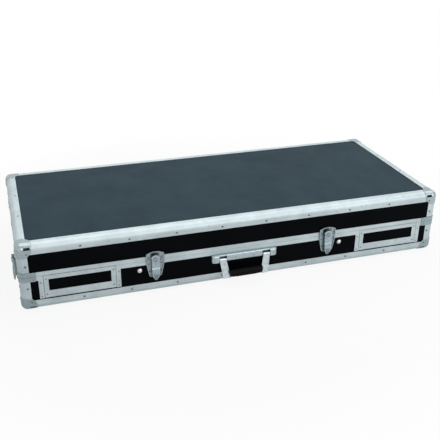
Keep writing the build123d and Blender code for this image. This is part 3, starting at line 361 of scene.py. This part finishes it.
PRESSED_ZINC = zinc_plate("zinc_plated_steel", "#92A2A9", "#A9B8BE", 0.2, 0.38)
# The levers carry deeper painted shade in their hollows, and painted shade on their slants.
LEVER_ZINC = zinc_plate("burnished_lever_zinc", "#8FA1AC", "#BCCAD1", 0.16, 0.32, "#D3DDE2", deep=0.55)
shade_painted_on_slants(LEVER_ZINC, "#33414A", 0.8)
BRACKET_ZINC = zinc_plate("satin_bracket_zinc", "#A6B5BA", "#C3D0D4", 0.24, 0.42)
BURNISHED_ZINC = zinc_plate("burnished_zinc", "#A9B9C1", "#DCE6EA", 0.12, 0.28, "#F6F9FA")
NICKEL = zinc_plate("bright_nickel", "#C6C7CB", "#E4E3E6", 0.1, 0.22)
RIVET_STEEL = zinc_plate("dulled_rivet_steel", "#738289", "#9AA8AE", 0.35, 0.5)
DARK_STEEL = zinc_plate("blackened_steel", "#15191C", "#2A2F33", 0.35, 0.5, "#5A6166", "#08090A")
metals = (PRESSED_ZINC, LEVER_ZINC, BRACKET_ZINC, BURNISHED_ZINC, NICKEL, RIVET_STEEL, DARK_STEEL)
print("metals:", [made.name for made in metals])

# %% [markdown]
# The base's ball corners and the rims' angles have a slightly darker zinc. A ball corner has a
# slot, and the sheet is pressed inwards round it. On the lid that dent reads as a dark patch
# in the photograph. It is only about a millimetre deep, so its shade is painted as a darker
# tone and not made by a shape: everything on the front and back leaves within a few
# millimetres of the slot. The case is symmetric, so distances from its middle find all four
# slots at once. The mask is a soft-edged box round each, three ranges that are multiplied.

# %% Ball corners, those of the lid with painted shade round the slot
# A slightly darker zinc for the base's ball corners and the rims' angles.
CORNER_ZINC = zinc_plate("darker_corner_zinc", "#8C9FA5", "#A8B8BC", 0.16, 0.36)
SLOT_FROM_END = 28 * MM
SLOT_FROM_TOP = 9.6 * MM
SLOT_SHADE_HALF = (8.2 * MM, 9 * MM, 3.4 * MM)
SLOT_SHADE_EDGE = 0.5 * MM


def corner_with_slot_shade():
    """Bright zinc plate, with painted shade round the slots of the lid's ball corners."""
    made = zinc_plate("corner_zinc_painted_slot_shade", "#9DAEB3", "#B7C6CA", 0.12, 0.3)
    tree = made.node_tree
    place = add(tree, "ShaderNodeTexCoord").outputs["Object"]
    middle = (0.0, MIDDLE_Y, (UNDERSIDE + TOP) / 2)
    apart = add(tree, "ShaderNodeVectorMath", {0: place, 1: middle}, operation="SUBTRACT").outputs[0]
    far = add(tree, "ShaderNodeVectorMath", {0: apart}, operation="ABSOLUTE").outputs[0]
    slot = (RIGHT_END - SLOT_FROM_END, (BACK - FRONT) / 2, (TOP - UNDERSIDE) / 2 - SLOT_FROM_TOP)
    off = add(tree, "ShaderNodeVectorMath", {0: far, 1: slot}, operation="SUBTRACT").outputs[0]
    off = add(tree, "ShaderNodeVectorMath", {0: off}, operation="ABSOLUTE").outputs[0]
    off = add(tree, "ShaderNodeSeparateXYZ", {"Vector": off}).outputs
    slot_shade_mask = 1.0
    for axis, half in zip("XYZ", SLOT_SHADE_HALF):
        soft = {"Value": off[axis], "From Min": half + SLOT_SHADE_EDGE, "From Max": half - SLOT_SHADE_EDGE}
        near = add(tree, "ShaderNodeMapRange", soft).outputs["Result"]
        slot_shade_mask = add(tree, "ShaderNodeMath", {0: slot_shade_mask, 1: near}, operation="MULTIPLY").outputs[0]
    # Painted shade: the dent round each slot is darkened.
    lay_over(tree, tree.nodes["Principled BSDF"], slot_shade_mask, "#1B2328")
    return made


SLOT_SHADE_ZINC = corner_with_slot_shade()
print("corner finishes:", CORNER_ZINC.name, SLOT_SHADE_ZINC.name)

# %% [markdown]
# The grip is soft black vinyl, moulded over a steel bar, with the fine leather grain that a
# spark-eroded mould leaves, here cells of 0.9 mm. The feet are plain black rubber, which is
# duller and dusty. Both are cells of a Voronoi pattern as relief, so one function serves.

# %% Moulded vinyl and rubber
def moulded_black(name, dark, light, grain, roughness, depth):
    """A black moulding with a pebbled skin."""
    made, tree, shader, place = start_material(name, light, 0.0, roughness, 0.08)
    cloud = add(tree, "ShaderNodeTexNoise", cloudy(place, 12 * MM)).outputs["Fac"]
    two_tones(tree, shader, cloud, dark, light)
    worn_and_shaded(tree, shader, place, "#2A2C2E", "#020202", 0.8 * MM, 5 * MM, 0.5, 0.6)
    cells = {"Vector": place, "Scale": 1 / grain}
    pebble = add(tree, "ShaderNodeTexVoronoi", cells, feature="SMOOTH_F1").outputs["Distance"]
    relief(tree, shader, pebble, depth, 0.7)
    handled = add(tree, "ShaderNodeTexNoise", cloudy(place, 6 * MM)).outputs["Fac"]
    vary_roughness(tree, shader, handled, roughness - 0.07, roughness + 0.07)
    return made


GRIP_VINYL = moulded_black("moulded_vinyl", "#020304", "#07090A", 0.9 * MM, 0.42, 0.06 * MM)
FOOT_RUBBER = moulded_black("foot_rubber", "#151617", "#202122", 0.5 * MM, 0.72, 0.03 * MM)
print("mouldings:", GRIP_VINYL.name, FOOT_RUBBER.name)

# %% [markdown]
# The case is lined with open-cell polyurethane foam in charcoal. It has no gloss at all, and
# up close it is a net of cells about a millimetre wide. A Voronoi pattern's distance to an
# edge is such a net: low on the walls, high in the pits, so it serves as relief, and as a
# tone that paints shade into the pits. The cells are drawn at 1.6 mm, coarser than real,
# because finer ones would vanish.

# %% Open-cell foam
FOAM_CELL = 1.6 * MM


def open_cell_foam():
    """Charcoal foam with painted shade in the pits of its cells, between thin, paler walls."""
    made, tree, shader, place = start_material("charcoal_foam", "#2B2D30", 0.0, 0.95, 0.1)
    net = {"Vector": place, "Scale": 1 / FOAM_CELL}
    cells = add(tree, "ShaderNodeTexVoronoi", net, feature="DISTANCE_TO_EDGE").outputs["Distance"]
    two_tones(tree, shader, cells, "#33363A", "#202225", 0.02, 0.35)
    worn_and_shaded(tree, shader, place, "#4A4D50", "#0E0F10", 2 * MM, 12 * MM, 0.4, 0.6)
    relief(tree, shader, cells, -0.5 * MM, 0.8)
    return made


FOAM = open_cell_foam()
print("lining finish:", FOAM.name)

# %% [markdown]
# Each solid of the construction model now gets its finish by name, in a list that reads like
# a bill of materials. Every slot of a solid is overwritten, so no plain colour shows. The
# count at the end tells whether a solid was forgotten.

# %% Dress the solids
FINISHES = {
    ALUMINIUM_X: ("base_edge_front", "base_edge_back", "base_rail_front", "base_rail_back",
                  "lid_edge_front", "lid_edge_back", "lid_rails"),
    FLAP_FRAME: ("flap_left_frame", "flap_right_frame"),
    ALUMINIUM_Y: ("base_edge_left", "base_edge_right", "base_rail_sides",
                  "lid_edge_left", "lid_edge_right"),
    ALUMINIUM_Z: ("base_corner_posts", "lid_corner_posts", "flap_jamb_strips"),
    TOP_LAMINATE: ("lid_top_panel",),
    WALL_LAMINATE: ("base_bottom_panel", "base_front_panel", "base_back_panel", "base_left_panel",
                    "base_right_panel", "lid_front_panel", "lid_back_panel", "lid_left_panel",
                    "lid_right_panel", "flap_left_panel", "flap_right_panel"),
    PLYWOOD: ("divider_left", "divider_right"),
    CORNER_ZINC: ("base_ball_corners", "base_rail_corners", "lid_rail_corners"),
    SLOT_SHADE_ZINC: ("lid_ball_corners",),
    PRESSED_ZINC: ("latch_plates", "latch_keepers", "lid_hinge_base_leaves", "lid_hinge_leaves",
                   "foot_screws", "lock_plug_front_left", "lock_plug_front_right"),
    LEVER_ZINC: ("latch_lever_front_left", "latch_lever_front_right", "latch_lever_end_left",
                 "latch_lever_end_right", "latch_yoke_front_left", "latch_yoke_front_right",
                 "latch_yoke_end_left", "latch_yoke_end_right", "flap_ball_catches"),
    BRACKET_ZINC: ("handle_bracket",),
    BURNISHED_ZINC: ("handle_arms",),
    NICKEL: ("divider_bolts",),
    DARK_STEEL: ("flap_hinge_fixed_leaves",),
    GRIP_VINYL: ("handle_grip",),
    FOOT_RUBBER: ("rubber_feet",),
    FOAM: ("bay_pads", "bay_linings", "lid_foam"),
}
dressed = 0
for finish, names in FINISHES.items():
    for name in names:
        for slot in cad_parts[name].material_slots:
            slot.material = finish
        dressed += 1
print("solids dressed:", dressed, "of", len(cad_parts))

# %% [markdown]
# Blind rivets hold every profile and fitting. A rivet's head is a low dome with a pit in the
# middle, where the steel mandrel snapped off, and that pit is what shows as a dark dot from
# across a room. A head is its side view, turned round an axis, so a short list of radii and
# heights describes it, as shares of the head's own radius and height. The pit is the first
# ring, and gets the second material, by default blackened steel: the mandrel's steel, with
# painted shade for the hollow. All rivets of one fitting become one object.

# %% A turned rivet head
RIVET_PROFILE = ((0.0, 0.30), (0.42, 0.32), (0.46, 1.0), (0.72, 0.92), (0.92, 0.55), (1.0, 0.0),
                 (1.0, -0.15))
RIVET_SIDES = 18


def turned_head(mesh, point, outward, radius, height):
    """Adds one rivet head to a mesh, standing on a point of a surface."""
    stand = Vector(outward).to_track_quat("Z", "Y").to_matrix().to_4x4()
    place = Matrix.Translation(point) @ stand
    rings = []
    for r, h in RIVET_PROFILE:
        count = RIVET_SIDES if r else 1
        angles = [2 * math.pi * i / RIVET_SIDES for i in range(count)]
        across = [(radius * r * math.cos(a), radius * r * math.sin(a)) for a in angles]
        rings.append([mesh.verts.new(place @ Vector((x, y, height * h))) for x, y in across])
    for ring, (inner, outer) in enumerate(zip(rings, rings[1:])):
        for i in range(RIVET_SIDES):
            j = (i + 1) % RIVET_SIDES
            near = [inner[i], inner[j]] if ring else [inner[0]]
            face = mesh.faces.new([near[0], outer[i], outer[j]] + near[1:])
            face.smooth = ring > 1
            face.material_index = 0 if ring else 1
    mesh.faces.new(list(reversed(rings[-1])))


def finished(name, mesh, materials, body):
    """Turns a bmesh into an object that rides on a body of the case."""
    bmesh.ops.recalc_face_normals(mesh, faces=mesh.faces)
    data = bpy.data.meshes.new(name)
    mesh.to_mesh(data)
    mesh.free()
    for each in materials:
        data.materials.append(each)
    made = bpy.data.objects.new(name, data)
    bpy.context.scene.collection.objects.link(made)
    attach(made, body)
    return made


def rivets(name, places, body, radius=3.1 * MM, height=1.0 * MM, metal=None, pit=None):
    """One object that holds the rivets of a fitting: places are (point, outward)."""
    mesh = bmesh.new()
    for point, outward in places:
        turned_head(mesh, Vector(point), outward, radius, height)
    print(name + ":", len(places), "rivets")
    # Unless another is given, the pit is blackened steel, which paints shade into the hollow.
    return finished(name, mesh, (metal or RIVET_STEEL, pit or DARK_STEEL), body)

# %% [markdown]
# Along the long profiles the rivets stand 126 mm apart, and on the ends 142 mm apart. They
# sit 19.5 mm in from the lid's edges, and 17.5 mm above the base's. Each corner post has one
# in each leg of its base and lid part, at levels measured from the ground. All places are
# reckoned from a few distances and not set one by one, so the rows come out even.

# %% Rivets along the profiles
IN_LEG = 19.5 * MM
BASE_LEVEL = UNDERSIDE + 17.5 * MM
LID_POST, BASE_POST = 134.5 * MM, 71.5 * MM
long_run = [(i - 3.5) * 126 * MM for i in range(8)]
short_run = [MIDDLE_Y + (i - 1.5) * 142 * MM for i in range(4)]
walls = ((FRONT, -1), (BACK, 1))
ends = ((LEFT_END, -1), (RIGHT_END, 1))


def corner_rivets(in_leaf, stand_off, z):
    """Two rivets at each corner of the case at one level, on its two upright faces."""
    found = []
    for x, side_x in ends:
        for y, side_y in walls:
            found.append(((x - side_x * in_leaf, y + side_y * stand_off, z), (0, side_y, 0)))
            found.append(((x + side_x * stand_off, y - side_y * in_leaf, z), (side_x, 0, 0)))
    return found


for part, level, post_level in (("lid", TOP - IN_LEG, LID_POST), ("base", BASE_LEVEL, BASE_POST)):
    run = [((x, y, level), (0, side, 0)) for y, side in walls for x in long_run]
    run += [((x, y, level), (side, 0, 0)) for x, side in ends for y in short_run]
    rivets(part + "_edge_rivets", run + corner_rivets(IN_LEG, 0, post_level), part)
top_leg = [((x - side * IN_LEG, y, TOP), (0, 0, 1)) for x, side in ends for y in short_run]
rivets("lid_top_leg_rivets", top_leg, "lid", 2.8 * MM)

# %% [markdown]
# Each leaf of a ball corner is riveted too, below its slot. The heads are smaller and sit on
# the sheet, 1.5 mm above the profile. Those in the top leaves are drawn flush. A dome there
# would be the highest point of the case, and the dressed case may not stand above its
# construction model. The angles that wrap the corners of the two rims have one rivet in each
# leaf, in the middle of a pressed dimple.

# %% Rivets in the stamped corners
SHEET = 1.5 * MM
BALL = (26 * MM, SHEET)
BALL_RIVET = 24 * MM
rivets("lid_corner_rivets", corner_rivets(*BALL, TOP - BALL_RIVET), "lid", 2.6 * MM, 0.9 * MM)
rivets("base_corner_rivets", corner_rivets(*BALL, UNDERSIDE + BALL_RIVET), "base", 2.6 * MM, 0.9 * MM)
IN_TOP_LEAF = 23 * MM
FLUSH = 0.05 * MM
top_leaf = [((x - side_x * IN_TOP_LEAF, y - side_y * IN_TOP_LEAF, TOP + SHEET), (0, 0, 1))
            for x, side_x in ends for y, side_y in walls]
rivets("lid_corner_top_rivets", top_leaf, "lid", 2.6 * MM, FLUSH)
DIMPLE = (35 * MM, 1.7 * MM)
LID_DIMPLE, BASE_DIMPLE = JOINT + 6.8 * MM, JOINT - 6.6 * MM
rivets("lid_rail_corner_rivets", corner_rivets(*DIMPLE, LID_DIMPLE), "lid", 1.8 * MM, 0.5 * MM)
rivets("base_rail_corner_rivets", corner_rivets(*DIMPLE, BASE_DIMPLE), "base", 1.8 * MM, 0.5 * MM)

# %% [markdown]
# The flaps' frames and the strips beside them are pinned with smaller rivets at their
# corners. Those of a flap ride on the flap, so they drop with it. Both flaps are the same,
# so one set of places is mirrored for the other side.

# %% Rivets of the flaps
FLAP_STILES, FLAP_LEVELS = (361.5 * MM, 533.8 * MM), (48 * MM, 92.5 * MM)
JAMBS, JAMB_LEVELS = (348 * MM, 547.3 * MM), (43 * MM, 84 * MM)
for side, name in ((-1, "flap_left"), (1, "flap_right")):
    spots = [((side * x, FRONT, z), (0, -1, 0)) for x in FLAP_STILES for z in FLAP_LEVELS]
    rivets(name + "_rivets", spots, name, 2.0 * MM, 0.7 * MM)
spots = [((side * x, FRONT, z), (0, -1, 0)) for side in (-1, 1) for x in JAMBS for z in JAMB_LEVELS]
rivets("jamb_rivets", spots, "base", 2.0 * MM, 0.7 * MM)

# %% [markdown]
# Each latch is held by four rivets in its plate and two in its keeper, left and right of the
# lever. All four latches are one fitting, so the places are written once, in millimetres
# across and above the joint of a front latch, and turned onto each of the walls.

# %% Rivets of the latches
LATCHES = (((-250 * MM, FRONT), 0), ((250 * MM, FRONT), 0),
           ((LEFT_END, MIDDLE_Y - 150 * MM), -90), ((RIGHT_END, MIDDLE_Y - 150 * MM), 90))
PLATE = 1.2 * MM
PLATE_SPOTS = ((-17, -10), (17, -10), (-14.6, -32), (14.6, -32))
KEEPER_SPOTS = ((-17, 9), (17, 9))


def on_latches(spots):
    """Rivet places on all four latches, from places on a front one."""
    found = []
    for (x, y), turn in LATCHES:
        seat = Matrix.Translation((x, y, JOINT)) @ Matrix.Rotation(math.radians(turn), 4, "Z")
        outward = seat.to_3x3() @ Vector((0, -1, 0))
        found += [(seat @ Vector((a * MM, -PLATE, b * MM)), outward) for a, b in spots]
    return found


rivets("latch_plate_rivets", on_latches(PLATE_SPOTS), "base", 2.3 * MM, 0.8 * MM)
rivets("latch_keeper_rivets", on_latches(KEEPER_SPOTS), "lid", 2.3 * MM, 0.8 * MM)

# %% [markdown]
# The bracket of the handle is riveted through its two hoods and through its bar, which
# stands 7.5 mm off the wall. A lid hinge carries the lid's whole weight, so its rivets are
# the large size, four to a leaf.

# %% Rivets of the handle and hinges
low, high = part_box("handle_bracket")
level = (low.z + high.z) / 2 + 1 * MM
BAR_FACE = FRONT - 7.5 * MM
hood = [((x, low.y, level), (0, -1, 0)) for x in (-85 * MM, 85 * MM)]
bar = [((x, BAR_FACE, level), (0, -1, 0)) for x in (-27 * MM, 27 * MM)]
rivets("bracket_rivets", hood + bar, "base", 2.6 * MM, 0.7 * MM, BRACKET_ZINC, RIVET_STEEL)
LEAF_FACE = BACK + 2 * MM
HINGES, FROM_PIN = (-400, 0, 400), (13, 29)
leaf = [(hinge + across, away) for hinge in HINGES for across in (-23, 23) for away in FROM_PIN]
for name, body, up in (("hinge_base_rivets", "base", -1), ("hinge_lid_rivets", "lid", 1)):
    spots = [((x * MM, LEAF_FACE, JOINT + up * away * MM), (0, 1, 0)) for x, away in leaf]
    rivets(name, spots, body, 3.2 * MM, 1.0 * MM)

# %% [markdown]
# The photograph shows the case closed, so its inside is a guess: what such a case usually
# has. Foam is cut from sheet with a hot wire or a blade, so a pad is a block whose edges have
# softened and whose top has settled a little towards its rim. A plain box can't show that.
# Each pad is a fine lattice of points on a box: near an edge the points are drawn onto a
# small radius, and over the top they sink where noise says the foam is tired. Points only
# ever move inwards, so a pad never grows past the solid that it stands for.

# %% A cut block of foam
CROWN, CROWN_WIDTH = 1.6 * MM, 28 * MM
TIRED, TIRED_PATCH = 0.9 * MM, 70 * MM
NEAR_FACE = 1.2 * MM


def steps(low, high, radius, pitch):
    """Stations along one side of a block, closer together near its two edges."""
    count = max(1, round((high - low - 2 * radius) / pitch))
    inner = [low + radius + (high - low - 2 * radius) * i / count for i in range(count + 1)]
    soft = [radius * (1 - math.cos(a)) for a in (0.0, 0.5, 1.0)]
    return [low + s for s in soft] + inner + [high - s for s in reversed(soft)]


def softened(point, low, high, radius):
    """A point of the block's skin, drawn in to a rounded edge."""
    core = Vector([min(max(c, a + radius), b - radius) for c, a, b in zip(point, low, high)])
    away = point - core
    return core + away.normalized() * radius if away.length > 1e-9 else point


def settle(point, low, high, sink):
    """Moves a point of the open side inwards, more so near the rim and by soft noise."""
    axis = max(range(3), key=lambda a: abs(sink[a]))
    face = high[axis] if sink[axis] < 0 else low[axis]
    if abs(point[axis] - face) > NEAR_FACE:
        return point
    rim = min(min(point[a] - low[a], high[a] - point[a]) for a in range(3) if a != axis)
    crown = CROWN * max(0.0, 1 - rim / CROWN_WIDTH) ** 2
    tired = TIRED * (0.5 + 0.5 * noise.noise(point / TIRED_PATCH))
    moved = point.copy()
    moved[axis] += (1 if sink[axis] > 0 else -1) * (crown + tired)
    return moved


def foam_block(name, low, high, body, sink, radius=2.5 * MM, pitch=14 * MM):
    """A soft-edged block of foam, settled on the side that sink points from."""
    axes = [steps(a, b, min(radius, (b - a) * 0.45), pitch) for a, b in zip(low, high)]
    counts = [len(a) for a in axes]
    rounding = min(radius, min(b - a for a, b in zip(low, high)) * 0.45)
    mesh = bmesh.new()
    found = {}

    def vertex(i, j, k):
        if (i, j, k) not in found:
            point = softened(Vector((axes[0][i], axes[1][j], axes[2][k])), low, high, rounding)
            found[i, j, k] = mesh.verts.new(settle(point, low, high, sink))
        return found[i, j, k]

    for axis in range(3):
        u, v = [a for a in range(3) if a != axis]
        for end in (0, counts[axis] - 1):
            for a in range(counts[u] - 1):
                for b in range(counts[v] - 1):
                    corner = []
                    for da, db in ((0, 0), (1, 0), (1, 1), (0, 1)):
                        index = [0, 0, 0]
                        index[axis], index[u], index[v] = end, a + da, b + db
                        corner.append(vertex(*index))
                    mesh.faces.new(corner).smooth = True
    made = finished(name, mesh, (FOAM,), body)
    return made


print("foam settles by at most", round((CROWN + TIRED) / MM, 1), "mm")

# %% [markdown]
# The construction model holds each set of foam as one group of plain blocks. Reading the box
# of each block gives the size and place of every pad, so nothing is typed in twice. A block
# is found by walking from one corner along edges until no new corner is reached.

# %% Read the separate solids of a group
def separate_boxes(node):
    """Lowest and highest corner of every separate solid in a node."""
    mesh = bmesh.new()
    mesh.from_mesh(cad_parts[node].data)
    bmesh.ops.remove_doubles(mesh, verts=mesh.verts, dist=0.01 * MM)
    left = set(mesh.verts)
    boxes = []
    while left:
        todo, seen = [left.pop()], []
        while todo:
            vertex = todo.pop()
            seen.append(vertex.co.copy())
            for edge in vertex.link_edges:
                other = edge.other_vert(vertex)
                if other in left:
                    left.remove(other)
                    todo.append(other)
        boxes.append((Vector(map(min, *seen)), Vector(map(max, *seen))))
    mesh.free()
    return sorted(boxes, key=lambda pair: (round(pair[0].x, 4), round(pair[0].y, 4)))


for number, (low, high) in enumerate(separate_boxes("bay_pads")):
    foam_block("bay_pad_" + "abc"[number], low, high, "base", (0, 0, -1))
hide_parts("bay_pads")

# %% [markdown]
# The linings are 10 mm strips on the walls. A strip settles on the side that faces into its
# bay, which is the side away from the nearest wall or divider. They could all be one piece,
# but such strips are glued in one by one, so each is a piece of its own here, too.

# %% Linings on the walls
DIVIDER_X = 291 * MM
for number, (low, high) in enumerate(separate_boxes("bay_linings")):
    size = high - low
    if size.y < size.x:
        sink = (0, -1, 0) if (low.y + high.y) / 2 < MIDDLE_Y else (0, 1, 0)
    else:
        boards = (LEFT_END, -DIVIDER_X, DIVIDER_X, RIGHT_END)
        nearest = min(boards, key=lambda x: abs(low.x - x))
        sink = (-1, 0, 0) if nearest < low.x else (1, 0, 0)
    name = "bay_lining_" + "abcdefghijkl"[number]
    foam_block(name, low, high, "base", sink, 1.8 * MM, 16 * MM)
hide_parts("bay_linings")

# %% [markdown]
# The lid is lined with convoluted foam, whose rows of soft peaks press on the equipment from
# above. It is cut by squeezing a sheet between two ribbed rollers against a blade, which
# leaves even waves, 44 mm from peak to peak here. Two sines multiplied are that surface, so
# the sheet is a lattice of points 5.5 mm apart, lifted by them and by a little noise. Its
# flat back lies on the lid's top board, and a wall of faces joins the two round the rim.

# %% Convoluted foam in the lid
PEAK_PITCH, PEAK_HEIGHT = 44 * MM, 13 * MM
LATTICE = 5.5 * MM
UNEVEN = 0.6 * MM


def convoluted_foam(name, node, body):
    """A foam sheet with a flat back above and rows of peaks below."""
    low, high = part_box(node)
    mesh = bmesh.new()
    across = [round((high[a] - low[a]) / LATTICE) for a in (0, 1)]
    rows = []
    for i in range(across[0] + 1):
        row = []
        for j in range(across[1] + 1):
            x = low.x + (high.x - low.x) * i / across[0]
            y = low.y + (high.y - low.y) * j / across[1]
            wave = [math.sin(2 * math.pi * run / PEAK_PITCH) for run in (x - low.x, y - low.y)]
            uneven = UNEVEN * (1 + noise.noise(Vector((x, y, 0)) / (60 * MM)))
            depth = PEAK_HEIGHT * (0.5 - 0.5 * wave[0] * wave[1]) + uneven
            row.append((mesh.verts.new((x, y, low.z + depth)), mesh.verts.new((x, y, high.z))))
        rows.append(row)
    for i in range(across[0]):
        for j in range(across[1]):
            a, b, c, d = rows[i][j], rows[i + 1][j], rows[i + 1][j + 1], rows[i][j + 1]
            mesh.faces.new((a[0], b[0], c[0], d[0])).smooth = True
            mesh.faces.new((d[1], c[1], b[1], a[1]))
    rim = [row[0] for row in rows] + rows[-1][1:]
    rim += [row[-1] for row in reversed(rows[:-1])] + rows[0][-2:0:-1]
    for here, there in zip(rim, rim[1:] + rim[:1]):
        mesh.faces.new((here[0], there[0], there[1], here[1]))
    made = finished(name, mesh, (FOAM,), body)
    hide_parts(node)
    return made


lid_lining = convoluted_foam("lid_convoluted_foam", "lid_foam", "lid")
size = tuple(round(v / MM) for v in lid_lining.dimensions)
print("lid foam:", size, "faces:", len(lid_lining.data.polygons))

# %% [markdown]
# A white sweep of paper is the usual ground for a product photograph. The floor is a large
# pale sheet whose colour is painted a little darker towards the left: painted shade, where the
# light falls off. To the camera it is mixed with plain white, and fully white a metre away
# from the case. That thins the shadow without putting more light on the case. Metal sees it a
# third white, too. A curved sweep could be modelled, but a white world behind a flat floor
# looks the same, with no seam.

# %% Floor
PAINTED_LIGHT_FALLOFF = (0.72, 1.0)
WHITE_NEAR, WHITE_FAR = 0.7, 1.1
WHITE_SHARE = (0.9, 1.0)
MIRRORED_SHARE = 0.3


def paper_floor():
    """Pale paper that keeps the case's shadow but reads as white to the camera."""
    made, tree, paper, place = start_material("white_paper", "#FBFBFB", 0.0, 0.9, 0.0)
    fibres = add(tree, "ShaderNodeTexNoise", cloudy(place, 2 * MM)).outputs["Fac"]
    grain = two_tones(tree, paper, fibres, "#F4F5F5", "#FBFBFB")
    # The paper's colour is scaled down towards the left: painted shade where the light falls off.
    along = add(tree, "ShaderNodeSeparateXYZ", {"Vector": place}).outputs["X"]
    shade = {"Value": along, "From Min": -0.8, "From Max": 0.8, "To Min": PAINTED_LIGHT_FALLOFF[0], "To Max": PAINTED_LIGHT_FALLOFF[1]}
    shade = add(tree, "ShaderNodeMapRange", shade).outputs["Result"]
    toned = {0: grain.outputs["Color"], "Scale": shade}
    toned = add(tree, "ShaderNodeVectorMath", toned, operation="SCALE").outputs[0]
    tree.links.new(toned, paper.inputs["Base Color"])
    white = add(tree, "ShaderNodeEmission", {"Color": colour("#FFFFFF"), "Strength": 1.0})
    rays = add(tree, "ShaderNodeLightPath").outputs
    away = add(tree, "ShaderNodeVectorMath", {0: place}, operation="LENGTH").outputs["Value"]
    plain = {"Value": away, "From Min": WHITE_NEAR, "From Max": WHITE_FAR,
             "To Min": WHITE_SHARE[0], "To Max": WHITE_SHARE[1]}
    plain = add(tree, "ShaderNodeMapRange", plain).outputs["Result"]
    seen = {0: rays["Is Camera Ray"], 1: plain}
    seen = add(tree, "ShaderNodeMath", seen, operation="MULTIPLY").outputs[0]
    mirrored = {0: rays["Is Glossy Ray"], 1: MIRRORED_SHARE}
    mirrored = add(tree, "ShaderNodeMath", mirrored, operation="MULTIPLY").outputs[0]
    share = add(tree, "ShaderNodeMath", {0: seen, 1: mirrored}, operation="MAXIMUM").outputs[0]
    mixed = {0: share, 1: paper.outputs[0], 2: white.outputs[0]}
    mixed = add(tree, "ShaderNodeMixShader", mixed).outputs[0]
    tree.links.new(mixed, tree.nodes["Material Output"].inputs["Surface"])
    return made


bpy.ops.mesh.primitive_plane_add(size=30)
floor = bpy.context.object
floor.name = "paper_floor"
floor.data.materials.append(paper_floor())
print("floor:", tuple(floor.dimensions))

# %% [markdown]
# The light of the photograph is soft and comes from above and from the right: the upper
# faces of the profiles are almost white there, and fall off to grey at the left end. A broad
# panel overhead makes that, with a weaker one in front for the walls. A small lamp would
# give hard shadows and hot dots on every rivet instead. Places and sizes are in metres and
# powers in watts. The world gives an even grey light, but the camera sees it as white, and
# metal sees it as a light grey, because what a metal shows is mostly its surroundings.

# %% Light
def softbox(name, place, aim, size, power):
    """A rectangular lamp that looks at a point."""
    lamp = bpy.data.lights.new(name, "AREA")
    lamp.shape = "RECTANGLE"
    lamp.size, lamp.size_y = size
    lamp.energy = power
    made = bpy.data.objects.new(name, lamp)
    made.location = place
    made.rotation_euler = (Vector(aim) - Vector(place)).to_track_quat("-Z", "Y").to_euler()
    bpy.context.scene.collection.objects.link(made)
    return made


softbox("overhead_panel", (0.5, 0.5, 2.4), (0.1, 0, 0.1), (4.2, 3.8), 37.5)
softbox("front_panel", (1.1, -3.0, 1.5), (0.2, -0.3, 0.0), (3.8, 2.2), 30)
EVEN_LIGHT = 0.45
SEEN_BY_METAL = 0.65
world = bpy.data.worlds.new("studio")
bpy.context.scene.world = world
world.use_nodes = True
tree = world.node_tree
rays = add(tree, "ShaderNodeLightPath").outputs
mirrored = {0: rays["Is Glossy Ray"], 1: SEEN_BY_METAL}
mirrored = add(tree, "ShaderNodeMath", mirrored, operation="MULTIPLY").outputs[0]
seen = {0: rays["Is Camera Ray"], 1: mirrored}
seen = add(tree, "ShaderNodeMath", seen, operation="MAXIMUM").outputs[0]
level = {"Value": seen, "To Min": EVEN_LIGHT, "To Max": 1.0}
level = add(tree, "ShaderNodeMapRange", level).outputs["Result"]
tree.links.new(level, tree.nodes["Background"].inputs["Strength"])
tree.nodes["Background"].inputs["Color"].default_value = colour("#FFFFFF")
bpy.context.scene.view_settings.view_transform = "Standard"

# %% [markdown]
# The camera stands high in front, near the left end, and looks down along the case. Its
# place and lens were worked out from the case's own corners in the photograph: straight
# edges that are parallel on the real object meet at points which give the angle, and the
# case's proportions give the distance. Turns are in degrees, the lens in millimetres.

# %% Camera
CAMERA_PLACE = (-594.15 * MM, MIDDLE_Y - 1860.77 * MM, 1007.35 * MM)
CAMERA_TURN = (64.3575, -0.5235, -17.7887)
SENSOR, LENS = 36, 57.72
lens = bpy.data.cameras.new("camera")
lens.sensor_width = SENSOR
lens.lens = LENS
camera = bpy.data.objects.new("camera", lens)
camera.location = CAMERA_PLACE
camera.rotation_euler = Euler([math.radians(a) for a in CAMERA_TURN], "XYZ")
bpy.context.scene.collection.objects.link(camera)
bpy.context.scene.camera = camera
print("camera:", tuple(round(c, 3) for c in camera.location))

# %% [markdown]
# The view layer is brought up to date at the end. The dressed case may not be larger
# than the construction model.

# %% Finish
bpy.context.view_layer.update()
